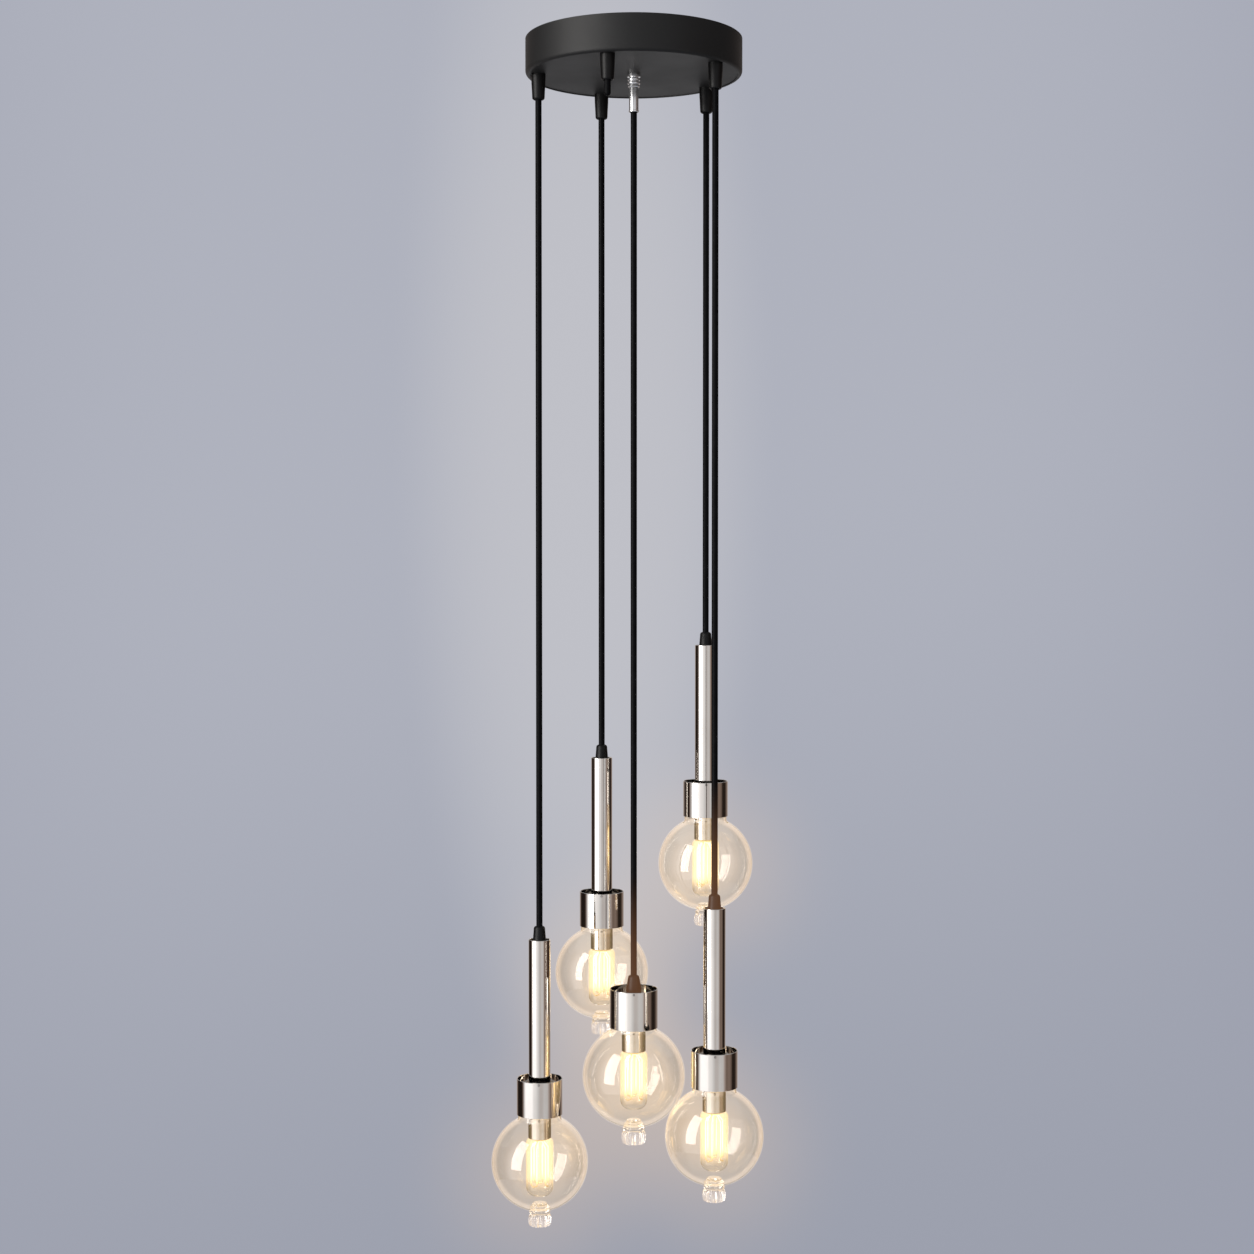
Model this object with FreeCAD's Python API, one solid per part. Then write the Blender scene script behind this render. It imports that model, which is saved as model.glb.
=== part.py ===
import FreeCAD, Part
import math
import os

# Cluster pendant: a round ceiling canopy with six cord outlets, from which five pendants hang on
# their cords at five heights. Millimetres. The origin is the middle of the canopy's rim, in the
# plane of the ceiling; +Z is up, so the whole light hangs below zero. -Y faces the viewer.

# --- Canopy, ceiling bracket and terminal block ---------------------------------------------
CANOPY_DIA = 216.0
CANOPY_HEIGHT = 35.8
CANOPY_WALL = 1.2
CANOPY_EDGE_RADIUS = 4.0
BRACKET_WIDTH = 24.0
BRACKET_THICKNESS = 2.0
BRACKET_EAR_HEIGHT = 20.0
BRACKET_TO_CANOPY = 0.2
CEILING_SLOT_SPACING = 88.0
CEILING_SLOT_WIDTH = 5.2
CEILING_SLOT_LENGTH = 14.0
SUPPLY_HOLE_DIA = 10.0
SUPPLY_HOLE_DEPTH = 6.0
SIDE_SCREW_DIA = 4.0
SIDE_SCREW_LENGTH = 9.0
SIDE_SCREW_DROP = 13.0
SIDE_SCREW_SOCKET = 2.0
SCREW_CLEARANCE = 0.05
TERMINAL_DIA = 44.0
TERMINAL_HEIGHT = 14.0
LEAD_IN_TERMINAL = 2.0

# --- Cord outlets under the canopy ------------------------------------------------------------
OUTLET_COUNT = 5
OUTLET_TO_EDGE = 13.0      # from the outlets' pitch circle to the canopy's wall
FIRST_OUTLET_ANGLE = 182.5
SPARE_OUTLET = 1
THREAD_DIA = 10.0
THREAD_CLEARANCE = 0.2
NUT_ACROSS_FLATS = 13.0
NUT_THICKNESS = 4.0
THREAD_PAST_NUT = 2.0
GRIP_TOP_DIA = 14.4
GRIP_END_DIA = 12.4
GRIP_LENGTH = 24.5
GRIP_END_ROUND = 1.8
CENTRE_GRIP_DIA = 10.0
CENTRE_GRIP_LENGTH = 36.0
COLLAR_DIA = 13.0
COLLAR_LENGTH = 10.5
PLUG_BELOW_GRIP = 15.0

# --- Cords ------------------------------------------------------------------------------------
CORD_DIA = 6.3
CORD_CLEARANCE = 0.2
LEAD_BEND_RADIUS = 12.0
SWING_DEPTH = 3.0          # how far up in the outlet the cord starts to swing
SWING_GAP = 0.9            # between the end of the fixed lead and the swinging cord
MOUTH_CLEARANCE = 1.2      # radial room for the swinging cord at the mouth of the outlet

# --- Pendant fittings -------------------------------------------------------------------------
FIRST_DROP = 1040.0        # a drop is measured from the ceiling to the rim of the pendant's cup
SECOND_DROP = 865.0
MIDDLE_DROP = 950.0
FOURTH_DROP = 746.0
MIDDLE_GLOBE_GAP = 5.6     # between the middle globe and the fifth, which hangs beside and below it
CUP_DIA = 46.4
CUP_HEIGHT = 36.4
CUP_WALL = 1.1
CUP_FLOOR_DEPTH = 16.0
CUP_FLOOR = 1.5
TUBE_DIA = 22.0
TUBE_WALL = 1.0
TUBE_ABOVE_RIM = 140.5
SLEEVE_DIA = 23.2
SLEEVE_WALL = 1.0
SLEEVE_BELOW_CUP = 24.0
ENTRY_BASE_DIA = 13.4
ENTRY_TOP_DIA = 11.4
ENTRY_HEIGHT = 13.6
ENTRY_SHOULDER = 2.3
ENTRY_PLUG_LENGTH = 8.0
ENTRY_PLUG_RECESS = 1.5
FIT_CLEARANCE = 0.1
NIPPLE_BORE = 7.0
NIPPLE_ABOVE_FLOOR = 7.0
NIPPLE_IN_HOLDER = 5.0
NIPPLE_NUT_HEIGHT = 3.5
HOLDER_BORE_DEPTH = 24.0
HOLDER_RECESS = 1.5

# --- Globe --------------------------------------------------------------------------------------
GLOBE_DIA = 97.4
GLASS_WALL = 1.2
NECK_CLEARANCE = 0.4
NECK_IN_CUP = 14.0
KNOB_DIA = 23.4
KNOB_HEIGHT = 16.6
KNOB_WAIST_DIA = 16.6

# --- The middle pendant has a larger cup and globe, and no tube ---------------------------------
LARGE_CUP_DIA = 48.8
LARGE_CUP_HEIGHT = 39.2
LARGE_CUP_FLOOR_DEPTH = 18.0
LARGE_SLEEVE_DIA = 24.2
LARGE_GLOBE_DIA = 103.6
LARGE_GLOBE_RISE = 2.6
LARGE_KNOB_DIA = 24.8
LARGE_KNOB_HEIGHT = 17.8
MIDDLE_GRIP_DIA = 15.2
MIDDLE_GRIP_TOP_DIA = 11.8

# --- Lamp ---------------------------------------------------------------------------------------
LAMP_DIA = 27.8
LAMP_LENGTH = 58.5
LAMP_WALL = 0.8
LAMP_SHOULDER = 5.0
LAMP_END_ROUND = 9.0
LAMP_BELOW_SLEEVE = 0.5
CAP_DIA = 14.0
CAP_LENGTH = 21.5
CAP_TIP_DIA = 6.0
CAP_TIP_LENGTH = 1.5
LAMP_MOUTH_DIA = 12.4
STEM_DIA = 4.4
STRAND_COUNT = 6
STRAND_DIA = 1.0
STRAND_CIRCLE_DIA = 17.0
SPIDER_THICKNESS = 0.8
SPIDER_MARGIN = 1.0
STRAND_TOP_DROP = 7.0
STRAND_BOTTOM_RISE = 10.0

# --- Derived places and sizes -------------------------------------------------------------------
CANOPY_UNDERSIDE = -CANOPY_HEIGHT
CANOPY_FLOOR = CANOPY_UNDERSIDE + CANOPY_WALL
CANOPY_BORE_RADIUS = CANOPY_DIA / 2 - CANOPY_WALL
OUTLET_PITCH_RADIUS = CANOPY_DIA / 2 - OUTLET_TO_EDGE
CORD_RADIUS = CORD_DIA / 2
CORD_BORE_RADIUS = CORD_RADIUS + CORD_CLEARANCE
THREAD_HOLE_RADIUS = THREAD_DIA / 2 + THREAD_CLEARANCE
THREAD_TOP = CANOPY_FLOOR + NUT_THICKNESS + THREAD_PAST_NUT
TERMINAL_TOP = -BRACKET_THICKNESS
TERMINAL_BOTTOM = TERMINAL_TOP - TERMINAL_HEIGHT
LEAD_HEIGHT = TERMINAL_TOP - TERMINAL_HEIGHT / 2

ORIGIN = FreeCAD.Vector(0, 0, 0)
UP = FreeCAD.Vector(0, 0, 1)
ALONG_X = FreeCAD.Vector(1, 0, 0)


def section_point(radius, height):
    """A point of a turned part's half section, in the XZ plane."""
    return FreeCAD.Vector(radius, 0, height)


def line(start, end):
    return Part.LineSegment(section_point(*start), section_point(*end)).toShape()


def arc(start, middle, end):
    return Part.Arc(section_point(*start), section_point(*middle), section_point(*end)).toShape()


def turned(edges):
    """A solid turned about the Z axis from the edges of its half section."""
    face = Part.Face(Part.Wire(edges))
    return face.revolve(ORIGIN, UP, 360)


def turned_polygon(points):
    """A turned solid whose half section has straight sides only."""
    closed = points + points[:1]
    return turned([line(a, b) for a, b in zip(closed, closed[1:])])


def cylinder(radius, bottom, top):
    return Part.makeCylinder(radius, top - bottom, section_point(0, bottom))


def pipe(outer_radius, inner_radius, bottom, top):
    return cylinder(outer_radius, bottom, top).cut(cylinder(inner_radius, bottom, top))


def hexagon(across_flats, bottom, top):
    corner = across_flats / 2 / math.cos(math.radians(30))
    points = []
    for step in range(7):
        angle = math.radians(60 * step)
        points.append(FreeCAD.Vector(corner * math.cos(angle), corner * math.sin(angle), bottom))
    return Part.Face(Part.makePolygon(points)).extrude(UP * (top - bottom))


def at_outlet(shape, index):
    """A copy of a shape made on the Z axis, turned and moved to an outlet on the pitch circle."""
    angle = FIRST_OUTLET_ANGLE + index * 360 / OUTLET_COUNT
    placed = shape.copy()
    placed.translate(ALONG_X * OUTLET_PITCH_RADIUS)
    placed.rotate(ORIGIN, UP, angle)
    return placed


def save(node, *solids):
    """Write one node, which holds one solid or several loose ones."""
    shape = solids[0] if len(solids) == 1 else Part.makeCompound(list(solids))
    shape.exportStep("parts/" + node + ".step")
    print(node, len(shape.Solids), "solid(s)", round(shape.Volume), "mm3", shape.isValid())


# --- Canopy group -------------------------------------------------------------------------------

def side_screw_hole(radius, inner, outer):
    """A bore along X at the height of the side screws, from one distance to another."""
    start = FreeCAD.Vector(inner, 0, -SIDE_SCREW_DROP)
    return Part.makeCylinder(radius, outer - inner, start, ALONG_X)


def both_sides(shape):
    """A shape on the +X side and its twin, turned half round to the -X side."""
    twin = shape.copy()
    twin.rotate(ORIGIN, UP, 180)
    return [shape, twin]


def make_canopy():
    """A spun pan, open at the ceiling, with a rounded lower edge and six outlet holes."""
    def pan(radius, floor, edge):
        corner = edge * (1 - math.sqrt(0.5))
        return turned([
            line((0, 0), (radius, 0)),
            line((radius, 0), (radius, floor + edge)),
            arc((radius, floor + edge), (radius - corner, floor + corner), (radius - edge, floor)),
            line((radius - edge, floor), (0, floor)),
            line((0, floor), (0, 0)),
        ])

    outside = pan(CANOPY_DIA / 2, CANOPY_UNDERSIDE, CANOPY_EDGE_RADIUS)
    inside = pan(CANOPY_BORE_RADIUS, CANOPY_FLOOR, CANOPY_EDGE_RADIUS - CANOPY_WALL)
    canopy = outside.cut(inside)
    outlet_hole = cylinder(THREAD_HOLE_RADIUS, CANOPY_UNDERSIDE, CANOPY_FLOOR)
    canopy = canopy.cut(outlet_hole)
    for index in range(OUTLET_COUNT):
        canopy = canopy.cut(at_outlet(outlet_hole, index))
    screw_hole_radius = SIDE_SCREW_DIA / 2 + SCREW_CLEARANCE
    for hole in both_sides(side_screw_hole(screw_hole_radius, CANOPY_DIA / 4, CANOPY_DIA / 2)):
        canopy = canopy.cut(hole)
    return canopy


def ear_face():
    """Distance from the middle to the outer face of the bracket's ears, clear of the round wall."""
    half_width = BRACKET_WIDTH / 2
    return math.sqrt(CANOPY_BORE_RADIUS ** 2 - half_width ** 2) - BRACKET_TO_CANOPY


def make_bracket():
    """A flat bar against the ceiling, with two slots, a supply hole and two threaded ears."""
    reach = ear_face()
    half_width = BRACKET_WIDTH / 2
    corner = FreeCAD.Vector(-reach, -half_width, -BRACKET_THICKNESS)
    bracket = Part.makeBox(2 * reach, BRACKET_WIDTH, BRACKET_THICKNESS, corner)
    ear_corner = FreeCAD.Vector(reach - BRACKET_THICKNESS, -half_width, -BRACKET_EAR_HEIGHT)
    ear = Part.makeBox(BRACKET_THICKNESS, BRACKET_WIDTH, BRACKET_EAR_HEIGHT, ear_corner)
    ear = ear.cut(side_screw_hole(SIDE_SCREW_DIA / 2 + SCREW_CLEARANCE, CANOPY_DIA / 4, reach))
    for side in both_sides(ear):
        bracket = bracket.fuse(side)
    half_run = (CEILING_SLOT_LENGTH - CEILING_SLOT_WIDTH) / 2
    slot = Part.makeBox(
        2 * half_run, CEILING_SLOT_WIDTH, BRACKET_THICKNESS,
        FreeCAD.Vector(-half_run, -CEILING_SLOT_WIDTH / 2, -BRACKET_THICKNESS))
    for end in (-half_run, half_run):
        round_end = cylinder(CEILING_SLOT_WIDTH / 2, -BRACKET_THICKNESS, 0)
        round_end.translate(ALONG_X * end)
        slot = slot.fuse(round_end)
    slot.translate(ALONG_X * (CEILING_SLOT_SPACING / 2))
    for side in both_sides(slot):
        bracket = bracket.cut(side)
    bracket = bracket.cut(cylinder(SUPPLY_HOLE_DIA / 2, -BRACKET_THICKNESS, 0))
    return bracket.removeSplitter()


def make_side_screws():
    """Socket grub screws, flush with the canopy's wall, that hold it to the bracket's ears."""
    outer = CANOPY_DIA / 2 - SCREW_CLEARANCE
    screw = side_screw_hole(SIDE_SCREW_DIA / 2, outer - SIDE_SCREW_LENGTH, outer)
    socket = hexagon(SIDE_SCREW_SOCKET, -SIDE_SCREW_SOCKET, 0)
    socket.rotate(ORIGIN, FreeCAD.Vector(0, 1, 0), 90)
    socket.translate(FreeCAD.Vector(outer, 0, -SIDE_SCREW_DROP))
    return both_sides(screw.cut(socket))


def make_terminal_block():
    """A round terminal block under the bracket, in which the supply and the five leads meet."""
    block = cylinder(TERMINAL_DIA / 2, TERMINAL_BOTTOM, TERMINAL_TOP)
    supply = cylinder(SUPPLY_HOLE_DIA / 2, TERMINAL_TOP - SUPPLY_HOLE_DEPTH, TERMINAL_TOP)
    return block.cut(supply)


def mouth_radius():
    return CORD_BORE_RADIUS + MOUTH_CLEARANCE


def flared_bore(end):
    """The cord's bore through an outlet, widening below the swing point so the cord can lean."""
    return turned_polygon([
        (0, THREAD_TOP),
        (CORD_BORE_RADIUS, THREAD_TOP),
        (CORD_BORE_RADIUS, end + SWING_DEPTH + SWING_GAP),
        (mouth_radius(), end),
        (0, end),
    ])


def make_outlet_grip():
    """A black moulded cord grip: a tapered body with a rounded end, and its thread above."""
    end = CANOPY_UNDERSIDE - GRIP_LENGTH
    top_radius = GRIP_TOP_DIA / 2
    end_radius = GRIP_END_DIA / 2
    corner = GRIP_END_ROUND * (1 - math.sqrt(0.5))
    body = turned([
        line((0, THREAD_TOP), (THREAD_DIA / 2, THREAD_TOP)),
        line((THREAD_DIA / 2, THREAD_TOP), (THREAD_DIA / 2, CANOPY_UNDERSIDE)),
        line((THREAD_DIA / 2, CANOPY_UNDERSIDE), (top_radius, CANOPY_UNDERSIDE)),
        line((top_radius, CANOPY_UNDERSIDE), (end_radius, end + GRIP_END_ROUND)),
        arc((end_radius, end + GRIP_END_ROUND), (end_radius - corner, end + corner),
            (end_radius - GRIP_END_ROUND, end)),
        line((end_radius - GRIP_END_ROUND, end), (0, end)),
        line((0, end), (0, THREAD_TOP)),
    ])
    return body.cut(flared_bore(end))


def make_centre_grip():
    """A slim polished grip with a collar, in the middle of the canopy."""
    end = CANOPY_UNDERSIDE - CENTRE_GRIP_LENGTH
    body = turned_polygon([
        (0, THREAD_TOP),
        (THREAD_DIA / 2, THREAD_TOP),
        (THREAD_DIA / 2, CANOPY_UNDERSIDE),
        (COLLAR_DIA / 2, CANOPY_UNDERSIDE),
        (COLLAR_DIA / 2, CANOPY_UNDERSIDE - COLLAR_LENGTH),
        (CENTRE_GRIP_DIA / 2, CANOPY_UNDERSIDE - COLLAR_LENGTH),
        (CENTRE_GRIP_DIA / 2, end),
        (0, end),
    ])
    return body.cut(flared_bore(end))


def make_nut():
    nut = hexagon(NUT_ACROSS_FLATS, CANOPY_FLOOR, CANOPY_FLOOR + NUT_THICKNESS)
    return nut.cut(cylinder(THREAD_HOLE_RADIUS, CANOPY_FLOOR, CANOPY_FLOOR + NUT_THICKNESS))


def make_outer_lead():
    """A fixed lead, made on the first outlet's axis: up out of the grip, bent, and inwards."""
    start = CANOPY_UNDERSIDE - GRIP_LENGTH + SWING_DEPTH + SWING_GAP
    bend = LEAD_BEND_RADIUS
    inwards = OUTLET_PITCH_RADIUS - TERMINAL_DIA / 2 + LEAD_IN_TERMINAL
    diagonal = bend * (1 - math.sqrt(0.5))
    route = Part.Wire([
        line((0, start), (0, LEAD_HEIGHT - bend)),
        arc((0, LEAD_HEIGHT - bend), (-diagonal, LEAD_HEIGHT - diagonal), (-bend, LEAD_HEIGHT)),
        line((-bend, LEAD_HEIGHT), (-inwards, LEAD_HEIGHT)),
    ])
    profile = Part.Wire(Part.makeCircle(CORD_RADIUS, section_point(0, start), UP))
    return route.makePipeShell([profile], True, False)


def make_canopy_group():
    """Everything above the swinging cords."""
    save("canopy", make_canopy())
    save("ceiling_bracket", make_bracket())
    save("side_screws", *make_side_screws())
    save("terminal_block", make_terminal_block())
    grip = make_outlet_grip()
    nut = make_nut()
    outlets = range(OUTLET_COUNT)
    save("cord_grips", *[at_outlet(grip, index) for index in outlets])
    save("centre_grip", make_centre_grip())
    save("grip_nuts", nut, *[at_outlet(nut, index) for index in outlets])
    lead = make_outer_lead()
    middle_start = CANOPY_UNDERSIDE - CENTRE_GRIP_LENGTH + SWING_DEPTH + SWING_GAP
    middle_lead = cylinder(CORD_RADIUS, middle_start, TERMINAL_BOTTOM)
    used = [index for index in outlets if index != SPARE_OUTLET]
    save("inner_leads", middle_lead, *[at_outlet(lead, index) for index in used])
    plug_bottom = CANOPY_UNDERSIDE - GRIP_LENGTH - PLUG_BELOW_GRIP
    save("blanking_plug", at_outlet(cylinder(CORD_RADIUS, plug_bottom, THREAD_TOP), SPARE_OUTLET))


# --- Pendants -----------------------------------------------------------------------------------

class Pendant:
    """One pendant's place and sizes. Heights inside it are measured from its cup's rim."""

    def __init__(self, number, drop, outlet=None):
        large = outlet is None
        self.number = number
        self.outlet = outlet
        self.rim = -drop
        self.has_tube = not large
        grip_length = CENTRE_GRIP_LENGTH if large else GRIP_LENGTH
        self.cord_top = CANOPY_UNDERSIDE - grip_length + SWING_DEPTH - self.rim
        self.cup_radius = (LARGE_CUP_DIA if large else CUP_DIA) / 2
        self.cup_bottom = -(LARGE_CUP_HEIGHT if large else CUP_HEIGHT)
        self.floor_top = -(LARGE_CUP_FLOOR_DEPTH if large else CUP_FLOOR_DEPTH)
        self.floor_bottom = self.floor_top - CUP_FLOOR
        self.sleeve_radius = (LARGE_SLEEVE_DIA if large else SLEEVE_DIA) / 2
        self.sleeve_bottom = self.cup_bottom - SLEEVE_BELOW_CUP
        self.globe_radius = (LARGE_GLOBE_DIA if large else GLOBE_DIA) / 2
        rise = LARGE_GLOBE_RISE if large else 0
        self.globe_centre = self.cup_bottom - self.globe_radius + rise
        self.knob_radius = (LARGE_KNOB_DIA if large else KNOB_DIA) / 2
        self.knob_height = LARGE_KNOB_HEIGHT if large else KNOB_HEIGHT
        self.lamp_top = self.sleeve_bottom - LAMP_BELOW_SLEEVE
        self.lamp_bottom = self.lamp_top - LAMP_LENGTH

    def save(self, name, solid):
        """Move a solid from its own axis and rim to its place under the canopy, and write it."""
        placed = solid.copy()
        placed.translate(UP * self.rim)
        if self.outlet is not None:
            placed = at_outlet(placed, self.outlet)
        save(name + "_" + str(self.number), placed)

    def cup(self):
        """A thin open cup, with its floor part way down and an open skirt for the globe's neck."""
        outer = self.cup_radius
        inner = outer - CUP_WALL
        hole = THREAD_HOLE_RADIUS
        return turned_polygon([
            (outer, 0),
            (outer, self.cup_bottom),
            (inner, self.cup_bottom),
            (inner, self.floor_bottom),
            (hole, self.floor_bottom),
            (hole, self.floor_top),
            (inner, self.floor_top),
            (inner, 0),
        ])

    def tube(self):
        """The straight polished tube that stands on the cup's floor, open at its top."""
        radius = TUBE_DIA / 2
        return pipe(radius, radius - TUBE_WALL, self.floor_top, TUBE_ABOVE_RIM)

    def entry_outline(self, base_radius, top_radius, base, top):
        """Edges of the upper half section of an entry grip, from the axis down to its base."""
        shoulder = top - ENTRY_SHOULDER
        bulge = (top_radius * 2 + CORD_BORE_RADIUS) / 3
        return [
            line((0, top), (CORD_BORE_RADIUS, top)),
            arc((CORD_BORE_RADIUS, top), (bulge, shoulder + ENTRY_SHOULDER * 0.7),
                (top_radius, shoulder)),
            line((top_radius, shoulder), (base_radius, base)),
        ]

    def tube_entry_grip(self):
        """The black grip on top of a tube: a plug inside the tube and a tapered cone above it."""
        plug_top = TUBE_ABOVE_RIM - ENTRY_PLUG_RECESS
        plug_bottom = plug_top - ENTRY_PLUG_LENGTH
        plug_radius = TUBE_DIA / 2 - TUBE_WALL - FIT_CLEARANCE
        base_radius = ENTRY_BASE_DIA / 2
        top = TUBE_ABOVE_RIM + ENTRY_HEIGHT
        grip = turned(self.entry_outline(base_radius, ENTRY_TOP_DIA / 2, plug_top, top) + [
            line((base_radius, plug_top), (plug_radius, plug_top)),
            line((plug_radius, plug_top), (plug_radius, plug_bottom)),
            line((plug_radius, plug_bottom), (0, plug_bottom)),
            line((0, plug_bottom), (0, top)),
        ])
        return grip.cut(cylinder(CORD_BORE_RADIUS, plug_bottom, top))

    def middle_entry_grip(self):
        """The middle pendant's grip, which screws on the nipple and stands in the cup."""
        radius = MIDDLE_GRIP_DIA / 2
        top = ENTRY_HEIGHT
        grip = turned(self.entry_outline(radius, MIDDLE_GRIP_TOP_DIA / 2, 0, top) + [
            line((radius, 0), (radius, self.floor_top)),
            line((radius, self.floor_top), (0, self.floor_top)),
            line((0, self.floor_top), (0, top)),
        ])
        grip = grip.cut(cylinder(CORD_BORE_RADIUS, self.floor_top, top))
        nipple_top = self.floor_top + NIPPLE_ABOVE_FLOOR
        return grip.cut(cylinder(THREAD_HOLE_RADIUS, self.floor_top, nipple_top))

    def cord_bottom(self):
        """Where the cord ends: at the plug's lower face, or on top of the middle nipple."""
        if self.has_tube:
            return TUBE_ABOVE_RIM - ENTRY_PLUG_RECESS - ENTRY_PLUG_LENGTH
        return self.floor_top + NIPPLE_ABOVE_FLOOR

    def cord(self):
        """The straight free cord, from the swing point in the outlet to inside the entry grip."""
        return cylinder(CORD_RADIUS, self.cord_bottom(), self.cord_top)

    def sleeve(self):
        """The polished sleeve round the lampholder, hung under the cup's floor."""
        outer = self.sleeve_radius
        inner = outer - SLEEVE_WALL
        lid = self.floor_bottom - SLEEVE_WALL
        return turned_polygon([
            (THREAD_HOLE_RADIUS, self.floor_bottom),
            (outer, self.floor_bottom),
            (outer, self.sleeve_bottom),
            (inner, self.sleeve_bottom),
            (inner, lid),
            (THREAD_HOLE_RADIUS, lid),
        ])

    def lampholder(self):
        """The lampholder's body, and the nipple that clamps holder, sleeve, cup and tube."""
        holder_top = self.floor_bottom - SLEEVE_WALL
        holder_bottom = self.sleeve_bottom + HOLDER_RECESS
        radius = self.sleeve_radius - SLEEVE_WALL - FIT_CLEARANCE
        nipple_bottom = holder_top - NIPPLE_IN_HOLDER
        nipple_top = self.floor_top + NIPPLE_ABOVE_FLOOR
        socket_radius = CAP_DIA / 2 + FIT_CLEARANCE
        socket_top = holder_bottom + HOLDER_BORE_DEPTH
        holder = cylinder(radius, holder_bottom, holder_top)
        holder = holder.cut(cylinder(THREAD_HOLE_RADIUS, nipple_bottom, holder_top))
        holder = holder.cut(cylinder(socket_radius, holder_bottom, socket_top))
        nipple = cylinder(THREAD_DIA / 2, nipple_bottom, nipple_top)
        if self.has_tube:
            nut_top = self.floor_top + NIPPLE_NUT_HEIGHT
            nipple = nipple.fuse(hexagon(NUT_ACROSS_FLATS, self.floor_top, nut_top))
        nipple = nipple.cut(cylinder(NIPPLE_BORE / 2, nipple_bottom, nipple_top))
        return Part.makeCompound([holder, nipple])

    def globe(self):
        """A blown globe with a neck that goes up into the cup, and a solid knob under it."""
        outer = self.globe_radius
        inner = outer - GLASS_WALL
        neck_outer = self.cup_radius - CUP_WALL - NECK_CLEARANCE
        neck_inner = neck_outer - GLASS_WALL
        neck_top = self.cup_bottom + NECK_IN_CUP
        centre = self.globe_centre
        neck_meets_outside = centre + math.sqrt(outer ** 2 - neck_outer ** 2)
        neck_meets_inside = centre + math.sqrt(inner ** 2 - neck_inner ** 2)
        waist = KNOB_WAIST_DIA / 2
        waist_height = centre - math.sqrt(outer ** 2 - waist ** 2)
        knob_bottom = centre - outer - self.knob_height
        knob_middle = (waist_height + knob_bottom) / 2
        foot = self.knob_radius * 0.55
        return turned([
            line((neck_inner, neck_top), (neck_outer, neck_top)),
            line((neck_outer, neck_top), (neck_outer, neck_meets_outside)),
            arc((neck_outer, neck_meets_outside), (outer, centre), (waist, waist_height)),
            arc((waist, waist_height), (self.knob_radius, knob_middle), (foot, knob_bottom)),
            line((foot, knob_bottom), (0, knob_bottom)),
            line((0, knob_bottom), (0, centre - inner)),
            arc((0, centre - inner), (inner, centre), (neck_inner, neck_meets_inside)),
            line((neck_inner, neck_meets_inside), (neck_inner, neck_top)),
        ])

    def lamp_cap(self):
        """The lamp's screw cap, with the contact at its top."""
        top = self.lamp_top + CAP_LENGTH
        cap = cylinder(CAP_DIA / 2, self.lamp_top, top)
        return cap.fuse(cylinder(CAP_TIP_DIA / 2, top, top + CAP_TIP_LENGTH))

    def lamp_glass(self):
        """The tubular glass, with a flat shoulder under the cap and a rounded lower end."""
        def envelope(radius, top, bottom, shoulder, end_round):
            high = shoulder * math.sqrt(0.5)
            low = end_round * math.sqrt(0.5)
            return [
                line((radius - shoulder, top), (0, top)),
                line((0, top), (0, bottom)),
                line((0, bottom), (radius - end_round, bottom)),
                arc((radius - end_round, bottom),
                    (radius - end_round + low, bottom + end_round - low),
                    (radius, bottom + end_round)),
                line((radius, bottom + end_round), (radius, top - shoulder)),
                arc((radius, top - shoulder),
                    (radius - shoulder + high, top - shoulder + high), (radius - shoulder, top)),
            ]

        radius = LAMP_DIA / 2
        outside = turned(envelope(radius, self.lamp_top, self.lamp_bottom,
                                  LAMP_SHOULDER, LAMP_END_ROUND))
        inside = turned(envelope(radius - LAMP_WALL, self.lamp_top - LAMP_WALL,
                                 self.lamp_bottom + LAMP_WALL,
                                 LAMP_SHOULDER - LAMP_WALL, LAMP_END_ROUND - LAMP_WALL))
        mouth = cylinder(LAMP_MOUTH_DIA / 2, self.lamp_top - LAMP_WALL, self.lamp_top)
        return outside.cut(inside).cut(mouth)

    def filament(self):
        """The lamp's stem, with two spiders and the upright strands between them."""
        strand_top = self.lamp_top - STRAND_TOP_DROP
        strand_bottom = self.lamp_bottom + STRAND_BOTTOM_RISE
        spider_radius = STRAND_CIRCLE_DIA / 2 + SPIDER_MARGIN
        filament = cylinder(STEM_DIA / 2, strand_bottom, self.lamp_top)
        for height in (strand_bottom, strand_top - SPIDER_THICKNESS):
            filament = filament.fuse(cylinder(spider_radius, height, height + SPIDER_THICKNESS))
        for index in range(STRAND_COUNT):
            strand = cylinder(STRAND_DIA / 2, strand_bottom, strand_top)
            strand.translate(ALONG_X * (STRAND_CIRCLE_DIA / 2))
            strand.rotate(ORIGIN, UP, index * 360 / STRAND_COUNT)
            filament = filament.fuse(strand)
        return filament

    def save_all(self):
        self.save("cord", self.cord())
        if self.has_tube:
            self.save("tube", self.tube())
            self.save("entry_grip", self.tube_entry_grip())
        else:
            self.save("entry_grip", self.middle_entry_grip())
        self.save("cup", self.cup())
        self.save("sleeve", self.sleeve())
        self.save("lampholder", self.lampholder())
        self.save("globe", self.globe())
        self.save("lamp_cap", self.lamp_cap())
        self.save("lamp_glass", self.lamp_glass())
        self.save("lamp_filament", self.filament())


def fifth_drop():
    """Drop of the fifth pendant, whose globe hangs lower than the middle one and clear of it."""
    middle_globe = MIDDLE_DROP + LARGE_CUP_HEIGHT - LARGE_GLOBE_RISE + LARGE_GLOBE_DIA / 2
    apart = (LARGE_GLOBE_DIA + GLOBE_DIA) / 2 + MIDDLE_GLOBE_GAP
    lower = math.sqrt(max(apart ** 2 - OUTLET_PITCH_RADIUS ** 2, 0))
    return middle_globe + lower - GLOBE_DIA / 2 - CUP_HEIGHT


PENDANTS = [
    Pendant(1, FIRST_DROP, outlet=0),
    Pendant(2, SECOND_DROP, outlet=4),
    Pendant(3, MIDDLE_DROP),
    Pendant(4, FOURTH_DROP, outlet=3),
    Pendant(5, fifth_drop(), outlet=2),
]

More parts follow.
